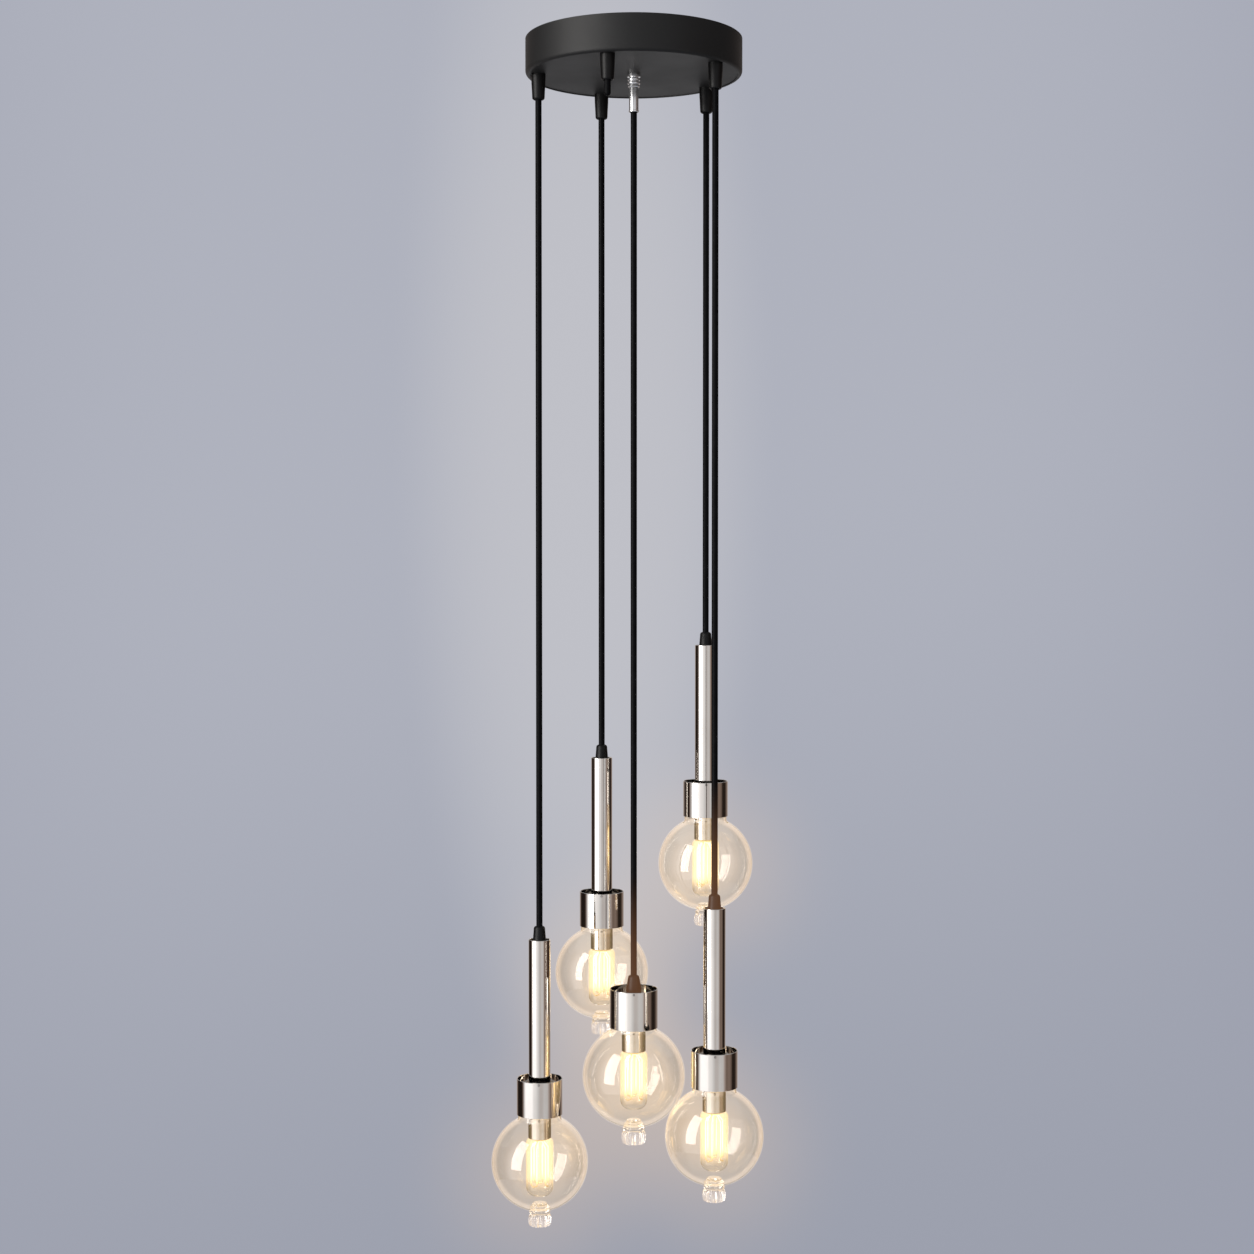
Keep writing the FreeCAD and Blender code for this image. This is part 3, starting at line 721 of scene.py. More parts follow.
@dataclass
class Studio:
    """Camera, lights, surroundings and floor."""

    camera_place: Vector = field(default_factory=lambda: Vector((-0.0068, -2.154, -0.5206)))
    camera_pitch: float = 1.716
    focal_pixels: float = 2146.0
    frame_pixels: float = 1254.0
    sensor: float = 36.0
    floor_height: float = -2.1
    floor_radius: float = 1.9
    softboxes: tuple[Softbox, ...] = (
        Softbox("softbox_left", -54.0, 14.0, 2.0, (1.3, 2.0), 30.0),
        Softbox("softbox_right", 54.0, -6.0, 2.1, (0.6, 1.1), 8.0),
        Softbox("softbox_below", -20.0, -70.0, 1.9, (1.3, 1.3), 52.0),
        Softbox("mirrored_window", -56.0, 11.0, 2.0, (1.0, 2.5), 46.0, mirrored_only=True),
    )
    # what polished metal sees round the object: (azimuth from the camera's side, brightness)
    surroundings: tuple[tuple[float, float], ...] = (
        (-180, 0.62), (-150, 0.30), (-138, 0.05), (-128, 0.012), (-98, 0.012), (-90, 0.12),
        (-82, 0.55), (-76, 1.10), (-70, 1.30), (-36, 1.30), (-28, 1.00), (-14, 0.86),
        (-4, 0.66), (4, 0.54), (14, 0.54), (26, 0.64), (42, 0.58), (50, 0.34), (60, 0.14),
        (76, 0.18), (88, 0.12), (96, 0.02), (116, 0.012), (130, 0.09), (150, 0.30), (180, 0.62))
    card_height: float = 0.55
    past_cards_colour: Colour = (0.34, 0.345, 0.36)
    fill_colour: Colour = (0.40, 0.41, 0.44)
    backdrop_high: Colour = (0.430, 0.446, 0.514)
    backdrop_low: Colour = (0.328, 0.346, 0.414)
    backdrop_edge: Colour = (0.330, 0.345, 0.420)
    # backdrop_bright is painted light behind the cords; the halo settings paint warm halos of lamp
    # light round the lamps
    backdrop_bright: Colour = (0.525, 0.530, 0.575)
    halo_colour: Colour = (0.44, 0.24, 0.02)
    halo_strength: float = 0.27
    halo_radius: float = 0.080

    def build(self) -> None:
        """Set up everything that isn't the object."""
        self.add_camera()
        middle = (Vector(CAD_BOX[0]) + Vector(CAD_BOX[1])) / 2
        for softbox in self.softboxes:
            softbox.build(middle)
        self.add_world()
        self.add_floor()
        bpy.context.scene.view_settings.view_transform = "Standard"

    def add_camera(self) -> None:
        """The photograph's camera."""
        data = bpy.data.cameras.new("camera")
        data.sensor_width = self.sensor
        data.lens = self.focal_pixels / self.frame_pixels * self.sensor
        camera = bpy.data.objects.new("camera", data)
        camera.location = self.camera_place
        camera.rotation_euler = (math.radians(90.0 - self.camera_pitch), 0.0, 0.0)
        bpy.context.collection.objects.link(camera)
        bpy.context.scene.camera = camera

    def add_world(self) -> None:
        """A soft blue-grey background, banded surroundings in reflections, even fill light."""
        world = bpy.data.worlds.new("studio")
        world.use_nodes = True
        bpy.context.scene.world = world
        graph = Graph(world.node_tree)
        direction = graph.node("ShaderNodeTexCoord", {}, {}, "Generated")
        x, y, z = (graph.axis(direction, name) for name in "XYZ")
        backdrop = self.backdrop_colour(graph, x, z)
        bands = self.banded_colour(graph, x, y, z)
        camera, through, glossy, reflections = (
            graph.node("ShaderNodeLightPath", {}, {}, name) for name in (
                "Is Camera Ray", "Is Transmission Ray", "Is Glossy Ray", "Glossy Depth"))
        reflected = reflections.clamped()
        shown = camera + through * (1.0 - reflected)
        mirrored = (glossy + through * reflected).clamped()
        around = graph.mix(1.0 - mirrored, bands, self.fill_colour)
        colour = graph.mix(shown, around, backdrop)
        light = graph.node("ShaderNodeBackground", {}, {"Color": colour, "Strength": 1.0})
        graph.finish("ShaderNodeOutputWorld", light)

    def backdrop_colour(self, graph: Graph, x: Value, z: Value) -> Value:
        """Blue-grey, with a painted pool of light behind the cords, painted shade to the edges and
        foot, and painted warm halos by the lamps.

        Args:
            graph: the world's tree.
            x: how far the line of sight points to the right.
            z: how far it points up.

        Returns:
            The colour behind the object.
        """
        low = (0.05 - z + x * 0.14).ramp(0.0, 0.44)
        wall = graph.mix(low, self.backdrop_high, self.backdrop_low)
        beside = (x + 0.02) * (x + 0.02)
        edges = graph.mix(beside.ramp(0.02, 0.14) * 0.6, wall, self.backdrop_edge)
        height = (z - 0.06) * (z - 0.06)
        bright = (beside * 120.0 + height * 9.0).ramp(1.0, 0.0)
        lit = graph.mix(bright, edges, self.backdrop_bright)
        painted_halos: Number = 0.0
        for lamp in self.lamp_directions():
            off_side, off_height = x - lamp.x, z - lamp.z
            apart = (off_side * off_side + off_height * off_height) / self.halo_radius ** 2
            near = (1.0 - apart).clamped()
            near = near * near
            painted_halos = near * near + painted_halos
        # painted warm halos of lamp light round each lamp
        return graph.mix(painted_halos * self.halo_strength, lit, self.halo_colour, "ADD")

    def lamp_directions(self) -> list[Vector]:
        """Where the camera sees the lamps.

        Returns:
            A direction of length 1 for each lamp.
        """
        directions = []
        for number in PENDANTS:
            low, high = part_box(f"lamp_glass_{number}")
            middle = (Vector(low) + Vector(high)) / 2
            directions.append((middle - self.camera_place).normalized())
        return directions

    def banded_colour(self, graph: Graph, x: Value, y: Value, z: Value) -> Value:
        """Grey cards, white cards and dark gaps, as a studio shows itself in polished metal.

        Args:
            graph: the world's tree.
            x: how far the reflected ray points to the right.
            y: how far it points away from the camera.
            z: how far it points up.

        Returns:
            The colour that is mirrored.
        """
        turn_angle = graph.node("ShaderNodeMath", {"operation": "ARCTAN2"}, {0: x, 1: 0.0 - y})
        place = turn_angle * (0.5 / math.pi) + 0.5
        ramp = graph.tree.nodes.new("ShaderNodeValToRGB")
        stops = ramp.color_ramp.elements
        while len(stops) < len(self.surroundings):
            stops.new(0.5)
        for stop, (azimuth, brightness) in zip(stops, self.surroundings):
            stop.position = azimuth / 360.0 + 0.5
            dimness = max(0.0, 1.0 - brightness / 0.6)
            stop.color = (brightness * (1.0 + 0.35 * dimness), brightness * (1.0 - 0.10 * dimness),
                          brightness * (1.03 - 0.35 * dimness), 1.0)
        graph.tree.links.new(place.socket, ramp.inputs["Fac"])
        height = graph.node("ShaderNodeMath", {"operation": "ABSOLUTE"}, {0: z})
        past_cards = height.ramp(self.card_height, self.card_height + 0.12)
        return graph.mix(past_cards, Value(graph, ramp.outputs["Color"]), self.past_cards_colour)

    def add_floor(self) -> None:
        """A plain pale round floor, far below the light and out of the photograph's frame."""
        bpy.ops.mesh.primitive_circle_add(
            vertices=96, radius=self.floor_radius, fill_type="NGON",
            location=(0, 0, self.floor_height))
        floor = new_piece("floor")
        Moulded("floor_paint", colour=(0.36, 0.38, 0.42), roughness=0.7, specular=0.1).dress(floor)


# --- Canopy ---

@dataclass
class CanopyGroup:
    """The ceiling canopy, its outlets and what is hidden in it."""

    body: str = "ceiling_canopy"
    wall: float = 1.2 * MM
    edge: float = 4.0 * MM
    recess: float = 0.8 * MM
    grip_length: float = 24.5 * MM
    centre_grip_length: float = 36.0 * MM
    outlet_count: int = 5
    first_outlet: float = 182.5
    pitch_radius: float = 95.0 * MM
    spare_outlet: int = 1
    cord_radius: float = 3.15 * MM
    thread_top: float = -28.6 * MM
    underside: float = field(init=False)
    radius: float = field(init=False)

    def __post_init__(self) -> None:
        """Read the canopy's size from the frame."""
        self.underside = node_heights("canopy")[0]
        self.radius = node_radius("canopy")

    def build(self) -> None:
        """Build the canopy and its outlets, and dress the hidden CAD nodes."""
        self.build_pan()
        self.build_grips()
        self.build_centre_grip()
        self.build_plug()
        hidden = {"ceiling_bracket": ZINC, "side_screws": BLACK_STEEL, "grip_nuts": ZINC,
                  "terminal_block": TERMINAL_PLASTIC, "inner_leads": CORD_PVC}
        for node, finish in hidden.items():
            finish.dress(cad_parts[node])

    def build_pan(self) -> None:
        """The spun pan: outside, rounded lower edge, underside, and the same inside."""
        radius, floor = self.radius, self.underside
        inner_edge = self.edge - self.wall
        plate = floor + self.recess
        step = radius - self.edge - 0.9 * MM
        outside = [(0.0, plate), (radius * 0.5, plate), (step - 0.5 * MM, plate), (step, plate)]
        outside += [(step + 0.15 * MM, floor + 0.2 * MM), (step + 0.4 * MM, floor)]
        outside += arc_outline((radius - self.edge, floor + self.edge), self.edge, -90, 0, 8)
        outside += [(radius, -self.wall * 0.3), (radius - self.wall * 0.3, 0.0)]
        outside += [(radius - self.wall, 0.0)]
        outside += arc_outline((radius - self.edge, floor + self.edge), inner_edge, 0, -90, 6)
        outside += [(radius * 0.5, floor + self.wall), (0.0, floor + self.wall)]
        pan = turn("canopy_pan", outside, segments=160)
        fit(pan, self.body, "canopy_black", CANOPY_PAINT, "canopy")

    def outlet(self, index: int) -> Matrix:
        """The place of an outlet on the pitch circle.

        Args:
            index: its number, counted anticlockwise from the first.

        Returns:
            The move of a piece that is made on the Z axis.
        """
        angle = math.radians(self.first_outlet + index * 360.0 / self.outlet_count)
        return Matrix.Translation((self.pitch_radius * math.cos(angle),
                                   self.pitch_radius * math.sin(angle), 0.0))

    def build_grips(self) -> None:
        """Five tapered black grips: a flange, a tapered body and a rounded end round the cord."""
        top = self.underside + self.recess
        end = self.underside - self.grip_length
        mouth = self.cord_radius + 1.2 * MM
        outline = [(mouth, end + 6.0 * MM), (mouth, end + 0.4 * MM), (mouth + 0.3 * MM, end)]
        outline += raised(end, (5.0, 0.0), (5.8, 0.6), (6.2, 1.7), (6.55, 9.0), (7.0, 17.0))
        outline += raised(top, (7.15, -2.2), (7.2, 0.0), (5.0, 0.0))
        outline += [(5.0 * MM, self.thread_top), (mouth, self.thread_top)]
        master = turn("grip_master", outline, segments=48, loop=True)
        copies = [placed_copy(master, f"grip_{index}", self.outlet(index))
                  for index in range(self.outlet_count)]
        discard(master)
        fit(join("outlet_grips", copies), self.body, "grip_black", GRIP_PLASTIC, "cord_grips")

    def build_centre_grip(self) -> None:
        """The slim chrome grip: a flange, two beads, a collar, a barrel and a rolled end."""
        top = self.underside + self.recess
        end = self.underside - self.centre_grip_length
        bore = self.cord_radius + 1.0 * MM
        barrel, collar, rib = 4.75 * MM, 5.7 * MM, node_radius("centre_grip") - 0.05 * MM
        outline = [
            (bore, end + 6.0 * MM), (bore, end + 0.3 * MM), (bore + 0.3 * MM, end),
            (4.8 * MM, end), (5.1 * MM, end + 0.3 * MM), (5.1 * MM, end + 1.6 * MM),
            (barrel, end + 1.9 * MM), (barrel, end + 2.6 * MM), (barrel, top - 12.4 * MM),
            (collar, top - 11.6 * MM), (collar, top - 10.4 * MM), (barrel, top - 10.1 * MM)]
        for height in (top - 7.9 * MM, top - 4.5 * MM):
            outline += arc_outline((rib - 1.5 * MM, height), 1.5 * MM, -80, 80, 8)
            outline.append((barrel, height + 1.7 * MM))
        outline += [
            (barrel, top - 2.2 * MM), (rib, top - 2.0 * MM), (rib, top), (4.8 * MM, top),
            (4.8 * MM, self.thread_top), (bore, self.thread_top)]
        grip = turn("centre_outlet", outline, segments=64, loop=True)
        fit(grip, self.body, "polished_nickel", CHROME, "centre_grip")

    def build_plug(self) -> None:
        """The short plug in the spare outlet, with a domed end."""
        bottom, top = node_heights("blanking_plug")
        radius = self.cord_radius
        dome = arc_outline((0.0, bottom + radius * 0.5), radius, -90, -28, 5)
        rise = bottom - dome[0][1]
        outline = [(0.0, bottom)] + [(r, h + rise) for r, h in dome[1:]]
        outline += [(radius, bottom + radius * 0.8), (radius, top), (0.0, top)]
        plug = turn("spare_outlet_plug", outline, segments=40)
        plug.data.transform(self.outlet(self.spare_outlet))
        fit(plug, self.body, "grip_black", CORD_PVC, "blanking_plug")


# --- Pendants ---

class Stem(Enum):
    """What stands in a pendant's cup."""

    TUBE = "polished tube with a grip on top"
    GRIP = "black grip alone"


@dataclass
class Pendant:
    """One pendant, from its cord's outlet down to its globe's knob, in metres."""

    number: int
    stem: Stem = Stem.TUBE
    cord_diameter: float = 6.3 * MM
    cup_wall: float = 1.1 * MM
    tube_wall: float = 1.0 * MM
    floor_depth: float = 16.0 * MM
    glass_wall: float = 1.2 * MM
    neck_gap: float = 0.4 * MM
    nipple_hole: float = 5.2 * MM
    strand_count: int = 6
    strand_turn: float = math.radians(14.0)
    strand_circle: float = 8.7 * MM
    strand_radius: float = 0.75 * MM
    knob_height: float = 16.6 * MM
    knob_radius: float = 11.7 * MM
    waist_radius: float = 8.3 * MM
    flute_count: int = 12
    # a flute's section: (share of the pitch off its middle, how far it is drawn in)
    flute_steps: tuple[tuple[float, float], ...] = ((0.0, 0.90), (0.125, 0.925), (0.25, 0.965))
    lamp_light: float = 0.0
    place: Matrix = field(init=False)

    def __post_init__(self) -> None:
        """Read the pendant's heights and radii from the frame."""
        self.x, self.y = node_middle(self.node("cup"))
        self.place = Matrix.Translation((self.x, self.y, 0.0))
        self.cup_bottom, self.rim = self.heights("cup")
        self.cup_radius = self.radius("cup")
        self.sleeve_bottom, self.sleeve_top = self.heights("sleeve")
        self.sleeve_radius = self.radius("sleeve")
        self.lamp_bottom, self.lamp_top = self.heights("lamp_glass")
        self.lamp_radius = self.radius("lamp_glass")
        self.knob_bottom, self.neck_top = self.heights("globe")
        self.globe_radius = self.radius("globe")
        if self.stem is Stem.GRIP:
            self.floor_depth = 18.0 * MM
            self.knob_height, self.knob_radius = 17.8 * MM, 12.4 * MM

    @property
    def body(self) -> str:
        """The CAD body of the hanging fitting."""
        return f"pendant_{self.number}"

    @property
    def lamp_body(self) -> str:
        """The CAD body of the lamp."""
        return f"lamp_{self.number}"

    def node(self, name: str) -> str:
        """A node or piece name with this pendant's number."""
        return f"{name}_{self.number}"

    def with_painted_lamp_light(self, plastic: Moulded) -> Moulded:
        """A plastic with painted light of the lamp behind it, on the pendants that have one.

        Args:
            plastic: the finish without that light.

        Returns:
            The finish with it, or the same finish.
        """
        if not self.lamp_light:
            return plastic
        foot = self.heights("entry_grip")[0]
        return replace(plastic, name=self.node(plastic.name), lamp_light=self.lamp_light,
                       lamp_heights=(foot + 0.03, foot + 0.14))

    def set_down(self, piece: bpy.types.Object) -> bpy.types.Object:
        """Move a piece from the Z axis to this pendant's axis, in its mesh."""
        piece.data.transform(self.place)
        return piece

    def heights(self, name: str) -> tuple[float, float]:
        """Lowest and highest Z of one of this pendant's CAD nodes."""
        return node_heights(self.node(name))

    def radius(self, name: str) -> float:
        """Half the width of one of this pendant's CAD nodes."""
        return node_radius(self.node(name))

    def add(self, kind: str, outline: Outline, segments: int, slot: str, finish: Finish,
            *nodes: str, body: str = "", loop: bool = True) -> None:
        """Turn a piece round this pendant's axis, and let it stand for its CAD nodes.

        Args:
            kind: the piece's name; names are given without the pendant's number.
            outline: its rings.
            segments: edges in a ring.
            slot: passed on to fit.
            finish: its surface.
            nodes: the CAD nodes that it replaces.
            body: the CAD body that it moves with, if not the hanging fitting.
            loop: True for a wall whose last ring joins the first.
        """
        piece = turn(self.node(kind), outline, segments, loop)
        fit(self.set_down(piece), body or self.body, slot, finish, *map(self.node, nodes))

    def build(self) -> None:
        """Build every visible piece of this pendant, and dress its hidden CAD nodes."""
        self.build_cord()
        if self.stem is Stem.TUBE:
            self.build_tube()
        self.build_grip()
        self.build_cup()
        self.build_sleeve()
        self.build_grub_screws()
        self.build_globe()
        self.build_lamp_glass()
        self.build_lamp_stem()
        self.build_strands()
        for hidden, finish in (("lampholder", HOLDER_PLASTIC), ("lamp_cap", CAP_METAL)):
            finish.dress(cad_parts[self.node(hidden)])

    def build_cord(self) -> None:
        """The straight cord, from its outlet to inside the grip below, held tight by the weight."""
        bottom, top = self.heights("cord")
        heights = (top, top - 0.06, (top + bottom) / 2 + 0.04, bottom + 0.05, bottom)
        places = [Vector((self.x, self.y, height)) for height in heights]
        flex = new_wire(self.node("flex"), "NURBS", self.cord_diameter / 2, 8, places)
        flex.data.use_fill_caps = True
        spline = flex.data.splines[0]
        spline.order_u = 3
        spline.use_endpoint_u = True
        fit(flex, self.body, "cord_black", self.with_painted_lamp_light(CORD_PVC), self.node("cord"))

    def build_tube(self) -> None:
        """The polished tube, with rounded ends and its bore open at the top."""
        bottom, top = self.heights("tube")
        outer = self.radius("tube")
        inner = outer - self.tube_wall
        lip = 0.3 * MM
        outline = [
            (inner, bottom), (outer, bottom), (outer, bottom + 0.02), (outer, top - lip),
            (outer - lip, top), (inner + lip, top), (inner, top - lip)]
        self.add("stem_tube", outline, 96, "polished_nickel", NICKEL, "tube")

    def build_grip(self) -> None:
        """The black grip round the cord, plugged in the tube's mouth or alone in the middle cup."""
        bottom, top = self.heights("entry_grip")
        foot = self.radius("entry_grip")
        bore = self.cord_diameter / 2 + 0.2 * MM
        if self.stem is Stem.TUBE:
            kind, sides = "stem_grip", self.tube_grip_sides(bottom, top, foot)
        else:
            kind, sides = "cup_grip", self.cup_grip_sides(top, foot)
        outline = [(bore, bottom), (foot, bottom)] + sides + [(bore + 0.1 * MM, top)]
        self.add(kind, outline, 48, "grip_black", self.with_painted_lamp_light(GRIP_PLASTIC), "entry_grip")

    def tube_grip_sides(self, bottom: float, top: float, foot: float) -> list[tuple[float, float]]:
        """A plug sunk in the tube's mouth, and over it a tapered cone with a shoulder.

        Args:
            bottom: height of the plug's foot.
            top: height of the cone's top.
            foot: the plug's radius.

        Returns:
            The outline between the foot and the top.
        """
        plug_top = bottom + 8.0 * MM
        plug = [(foot, plug_top - 0.3 * MM), (foot - 0.3 * MM, plug_top)]
        cone = raised(plug_top, (6.8, 0.0), (6.68, 0.2), (6.3, 5.0), (5.95, 9.0))
        return plug + cone + raised(top, (5.72, -2.4), (5.3, -1.2), (4.5, -0.5))

    def cup_grip_sides(self, top: float, foot: float) -> list[tuple[float, float]]:
        """A straight foot and a bell-shaped top.

        Args:
            top: height of the bell's top.
            foot: the foot's radius.

        Returns:
            The outline between the foot and the top.
        """
        straight = [(foot, self.rim - 1.5 * MM), (foot - 0.2 * MM, self.rim + 0.6 * MM)]
        bell = raised(self.rim, (6.95, 4.0), (6.3, 8.0))
        return straight + bell + raised(top, (5.85, -2.4), (5.3, -1.1), (4.5, -0.4))

    def build_cup(self) -> None:
        """The thin open cup: rolled rim, straight wall, recessed floor and open skirt."""
        outer, rim, bottom = self.cup_radius, self.rim, self.cup_bottom
        inner = outer - self.cup_wall
        floor = rim - self.floor_depth
        under = floor - 1.5 * MM
        hole, lip = self.nipple_hole, 0.35 * MM
        outline = [
            (hole, under), (inner - 1.0 * MM, under), (inner, under - 1.0 * MM),
            (inner, bottom + lip), (inner + lip, bottom), (outer - lip, bottom),
            (outer, bottom + lip), (outer, bottom + 12.0 * MM), (outer, rim - lip),
            (outer - lip, rim), (inner + lip, rim), (inner, rim - lip),
            (inner, floor + 1.0 * MM), (inner - 1.0 * MM, floor), (hole, floor)]
        self.add("open_cup", outline, 128, "polished_nickel", NICKEL, "cup")

    def build_sleeve(self) -> None:
        """The sleeve round the lampholder, with a fine rolled lower edge."""
        outer, top, bottom = self.sleeve_radius, self.sleeve_top, self.sleeve_bottom
        inner = outer - self.tube_wall
        hole, lip = self.nipple_hole, 0.3 * MM
        outline = [
            (hole, top - 1.0 * MM), (inner, top - 1.0 * MM), (inner, bottom + lip),
            (inner + lip, bottom), (outer - lip, bottom), (outer, bottom + lip),
            (outer, bottom + 10.0 * MM), (outer, top - lip), (outer - lip, top), (hole, top)]
        self.add("holder_sleeve", outline, 96, "polished_nickel", SLEEVE_NICKEL, "sleeve")

    def build_grub_screws(self) -> None:
        """Small socket grub screws at the cup's rim and at the top of the sleeve."""
        rows = ((self.cup_radius, self.rim - 2.0 * MM),
                (self.sleeve_radius, self.cup_bottom - 5.0 * MM))
        master = self.grub_screw()
        screws = []
        for radius, height in rows:
            for angle in (-90.0, 30.0, 150.0):
                turned = Matrix.Rotation(math.radians(angle), 4, "Z")
                moved = Matrix.Translation((radius + 0.15 * MM, 0.0, height))
                screws.append(placed_copy(master, "screw", self.place @ turned @ moved))
        discard(master)
        fit(join(self.node("grub_screws"), screws), self.body, "screw_steel", BLACK_STEEL)

    def grub_screw(self) -> bpy.types.Object:
        """A grub screw along X, with its socket facing outwards and its face at the origin.

        Returns:
            The master screw.
        """
        deselect_all()
        bpy.ops.mesh.primitive_cylinder_add(
            vertices=18, radius=1.05 * MM, depth=1.4 * MM, location=(-0.7 * MM, 0, 0),
            rotation=(0, math.radians(90), 0))
        screw = new_piece("grub_screw_master")
        apply_transform()
        bpy.ops.object.mode_set(mode="EDIT")
        mesh = bmesh.from_edit_mesh(screw.data)
        bpy.ops.mesh.select_all(action="DESELECT")
        for face in mesh.faces:
            face.select = face.normal.x > 0.9
        bmesh.update_edit_mesh(screw.data)
        bpy.ops.mesh.inset(thickness=0.45 * MM)
        bpy.ops.mesh.extrude_region_move(TRANSFORM_OT_translate={"value": (-0.7 * MM, 0, 0)})
        bpy.ops.object.mode_set(mode="OBJECT")
        return finish_mesh(screw)

    def build_globe(self) -> None:
        """The blown globe: rounded lip, neck, thin sphere with a boss, waist, bead and knob."""
        outer = self.globe_radius
        inner = outer - self.glass_wall
        neck = self.cup_radius - self.cup_wall - self.neck_gap
        neck_inner = neck - self.glass_wall
        knob, waist, foot = self.knob_radius, self.waist_radius, self.knob_bottom
        centre = foot + self.knob_height + outer
        top_angle, waist_angle = angle_at(neck, outer), -angle_at(waist, outer)
        inner_top = angle_at(neck_inner, inner)
        roll = self.glass_wall / 2
        waist_height = centre - math.sqrt(outer ** 2 - waist ** 2)
        body = (waist_height - 4.4 * MM - foot) / 2
        outline = [(neck, centre + math.sqrt(outer ** 2 - neck ** 2) + 1.2 * MM)]
        outline += arc_outline((0.0, centre), outer, top_angle - 1.2, waist_angle + 0.6, 64)
        outline += [(waist - 0.2 * MM, waist_height - 0.5 * MM), (waist, waist_height - 1.1 * MM)]
        bead = ((1.6, 1.7), (1.0, 2.6), (1.4, 3.5), (2.4, 4.0), (2.2, 4.6))
        outline += [(knob - inset * MM, waist_height - drop * MM) for inset, drop in bead]
        middle = foot + body
        for angle in range(60, -61, -12):
            shift = math.radians(angle)
            outline.append((knob - 3.0 * MM + 3.0 * MM * math.cos(shift),
                            middle + (body - 0.3 * MM) * math.sin(shift)))
        outline += [(knob * 0.62, foot + 0.45 * MM), (knob * 0.42, foot), (0.0, foot + 0.1 * MM)]
        bed = centre - inner
        boss = raised(bed, (0.0, 5.6), (6.6, 5.4), (7.4, 4.9), (7.5, 4.2), (6.7, 3.7), (7.9, 3.2),
                      (8.3, 2.5), (7.6, 1.9), (9.2, 1.2))
        bed_angle = -angle_at(11.0 * MM, inner)
        inside = boss[1:] + arc_outline((0.0, centre), inner, bed_angle, inner_top - 1.2, 60)
        lip, part = self.neck_top, 0.3 * roll
        inside += [
            (neck_inner, centre + math.sqrt(inner ** 2 - neck_inner ** 2) + 1.2 * MM),
            (neck_inner, lip - roll), (neck_inner + part, lip - part), (neck_inner + roll, lip),
            (neck - part, lip - part), (neck, lip - roll)]
        globe = turn(self.node("glass_globe"), boss[:1] + inside + outline, segments=96)
        self.cut_flutes(globe, foot, waist_height - 4.2 * MM)
        finish = ClearGlass(self.node("blown_glass"), knob_top=waist_height)
        fit(self.set_down(globe), self.node("globe"), "globe_glass", finish, self.node("globe"))

    def cut_flutes(self, globe: bpy.types.Object, low: float, high: float) -> None:
        """Draw in columns of the knob's vertices, so that flutes run down its round part.

        Args:
            globe: the turned globe, still on the Z axis.
            low: height of the knob's foot.
            high: height where the flutes start.
        """
        pitch = 2 * math.pi / self.flute_count
        for share, inset in self.flute_steps:
            activate(globe)
            bpy.ops.object.mode_set(mode="EDIT")
            bpy.ops.mesh.select_all(action="DESELECT")
            mesh = bmesh.from_edit_mesh(globe.data)
            for vertex in mesh.verts:
                place = vertex.co
                column = math.atan2(place.y, place.x) / pitch % 1.0
                off = min(column, 1.0 - column)
                radius = math.hypot(place.x, place.y)
                in_column = radius > 5.0 * MM and abs(off - share) < 0.02
                vertex.select = low < place.z < high and in_column
            mesh.select_flush(True)
            bmesh.update_edit_mesh(globe.data)
            bpy.ops.transform.resize(value=(inset, inset, 1.0), center_override=(0, 0, high))
            bpy.ops.object.mode_set(mode="OBJECT")

    def build_lamp_glass(self) -> None:
        """Tubular glass with a rounded shoulder and end, as a thin wall with two faces."""
        radius, top, bottom = self.lamp_radius, self.lamp_top, self.lamp_bottom
        wall = 0.8 * MM
        mouth = 6.2 * MM

        def half(inset: float, downwards: bool) -> list[tuple[float, float]]:
            """One face of the wall.

            Args:
                inset: its distance from the outside.
                downwards: True to run from the shoulder to the end.

            Returns:
                Its outline.
            """
            shoulder, end = 5.0 * MM, 9.0 * MM
            points = arc_outline((radius - shoulder, top - shoulder), shoulder - inset, 90, 0, 8)
            points += [(radius - inset, (top + bottom) / 2)]
            points += arc_outline((radius - end, bottom + end), end - inset, 0, -84, 10)
            return points if downwards else points[::-1]

        outline = [(0.0, bottom + wall)] + half(wall, False) + [(mouth, top - wall), (mouth, top)]
        outline += half(0.0, True) + [(0.0, bottom)]
        finish = LitGlass(self.node("lamp_glass_lit"), glow_end=bottom + 18.0 * MM)
        self.add("lamp_tube", outline, 72, "lamp_glass", finish, "lamp_glass",
                 body=self.lamp_body, loop=False)

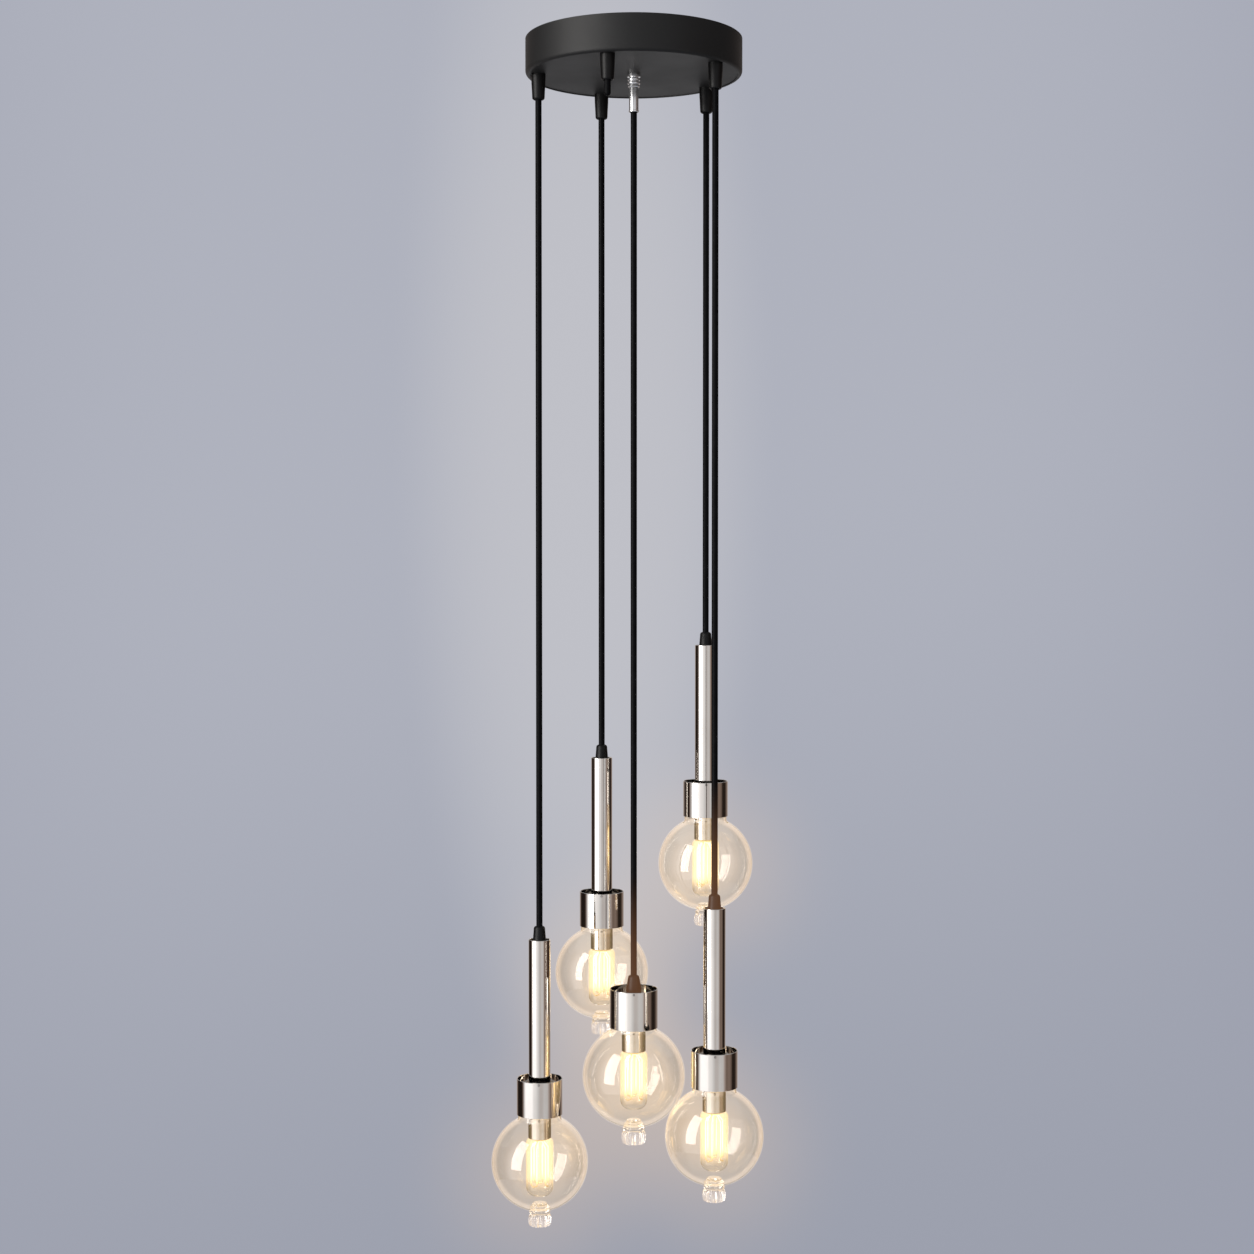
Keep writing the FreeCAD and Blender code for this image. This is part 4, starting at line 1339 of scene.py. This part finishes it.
    def build_lamp_stem(self) -> None:
        """The glass stem in the lamp, flared at the cap and ending in a button."""
        top = self.lamp_top - 0.2 * MM
        end = self.lamp_bottom + 12.0 * MM
        flare = raised(top, (0.0, 0.0), (5.4, 0.0), (4.6, -1.5), (2.6, -4.0), (1.9, -8.0))
        button = raised(end, (1.5, 6.0), (1.4, 2.5), (2.3, 1.4), (2.3, 0.6), (1.4, 0.0), (0.0, 0.0))
        self.add("lamp_stem", flare + button, 32, "lamp_glass", STEM_GLASS,
                 body=self.lamp_body, loop=False)

    def build_strands(self) -> None:
        """One filament wire in hairpins round the stem, drawn in to it at the top."""
        top = self.lamp_top - 2.5 * MM
        shoulder = top - 7.0 * MM
        end = self.lamp_bottom + 10.0 * MM
        step = 2 * math.pi / self.strand_count
        places: list[Vector] = []
        for index in range(self.strand_count):
            angle = self.strand_turn + index * step
            rising = [(self.strand_circle, end + 2.0 * MM), (self.strand_circle, shoulder),
                      (3.6 * MM, top)]
            ring = rising if index % 2 == 0 else rising[::-1]
            places += [self.beside_axis(angle, radius, height) for radius, height in ring]
            if index % 2:
                places.append(self.beside_axis(angle + step / 2, self.strand_circle, end))
        name = self.node("filament_wire")
        activate(new_wire(name, "POLY", self.strand_radius, 2, places))
        bpy.ops.object.convert(target="MESH")
        wire = finish_mesh(new_piece(name), angle=60.0)
        finish = Glow(self.node("hot_wire"), foot=end)
        fit(wire, self.lamp_body, "filament_glow", finish, self.node("lamp_filament"))

    def beside_axis(self, angle: float, radius: float, height: float) -> Vector:
        """A place at an angle and a distance from this pendant's axis."""
        return Vector((self.x + radius * math.cos(angle), self.y + radius * math.sin(angle),
                       height))


def main() -> None:
    """Build the studio, the canopy and the five pendants."""
    logging.basicConfig(level=logging.INFO, format="%(message)s")
    deselect_all()
    Studio().build()
    CanopyGroup().build()
    for number in PENDANTS:
        stem = Stem.GRIP if number == 3 else Stem.TUBE
        Pendant(number, stem=stem, lamp_light=LAMP_LIGHT.get(number, 0.0)).build()


if __name__ == "__main__":
    main()
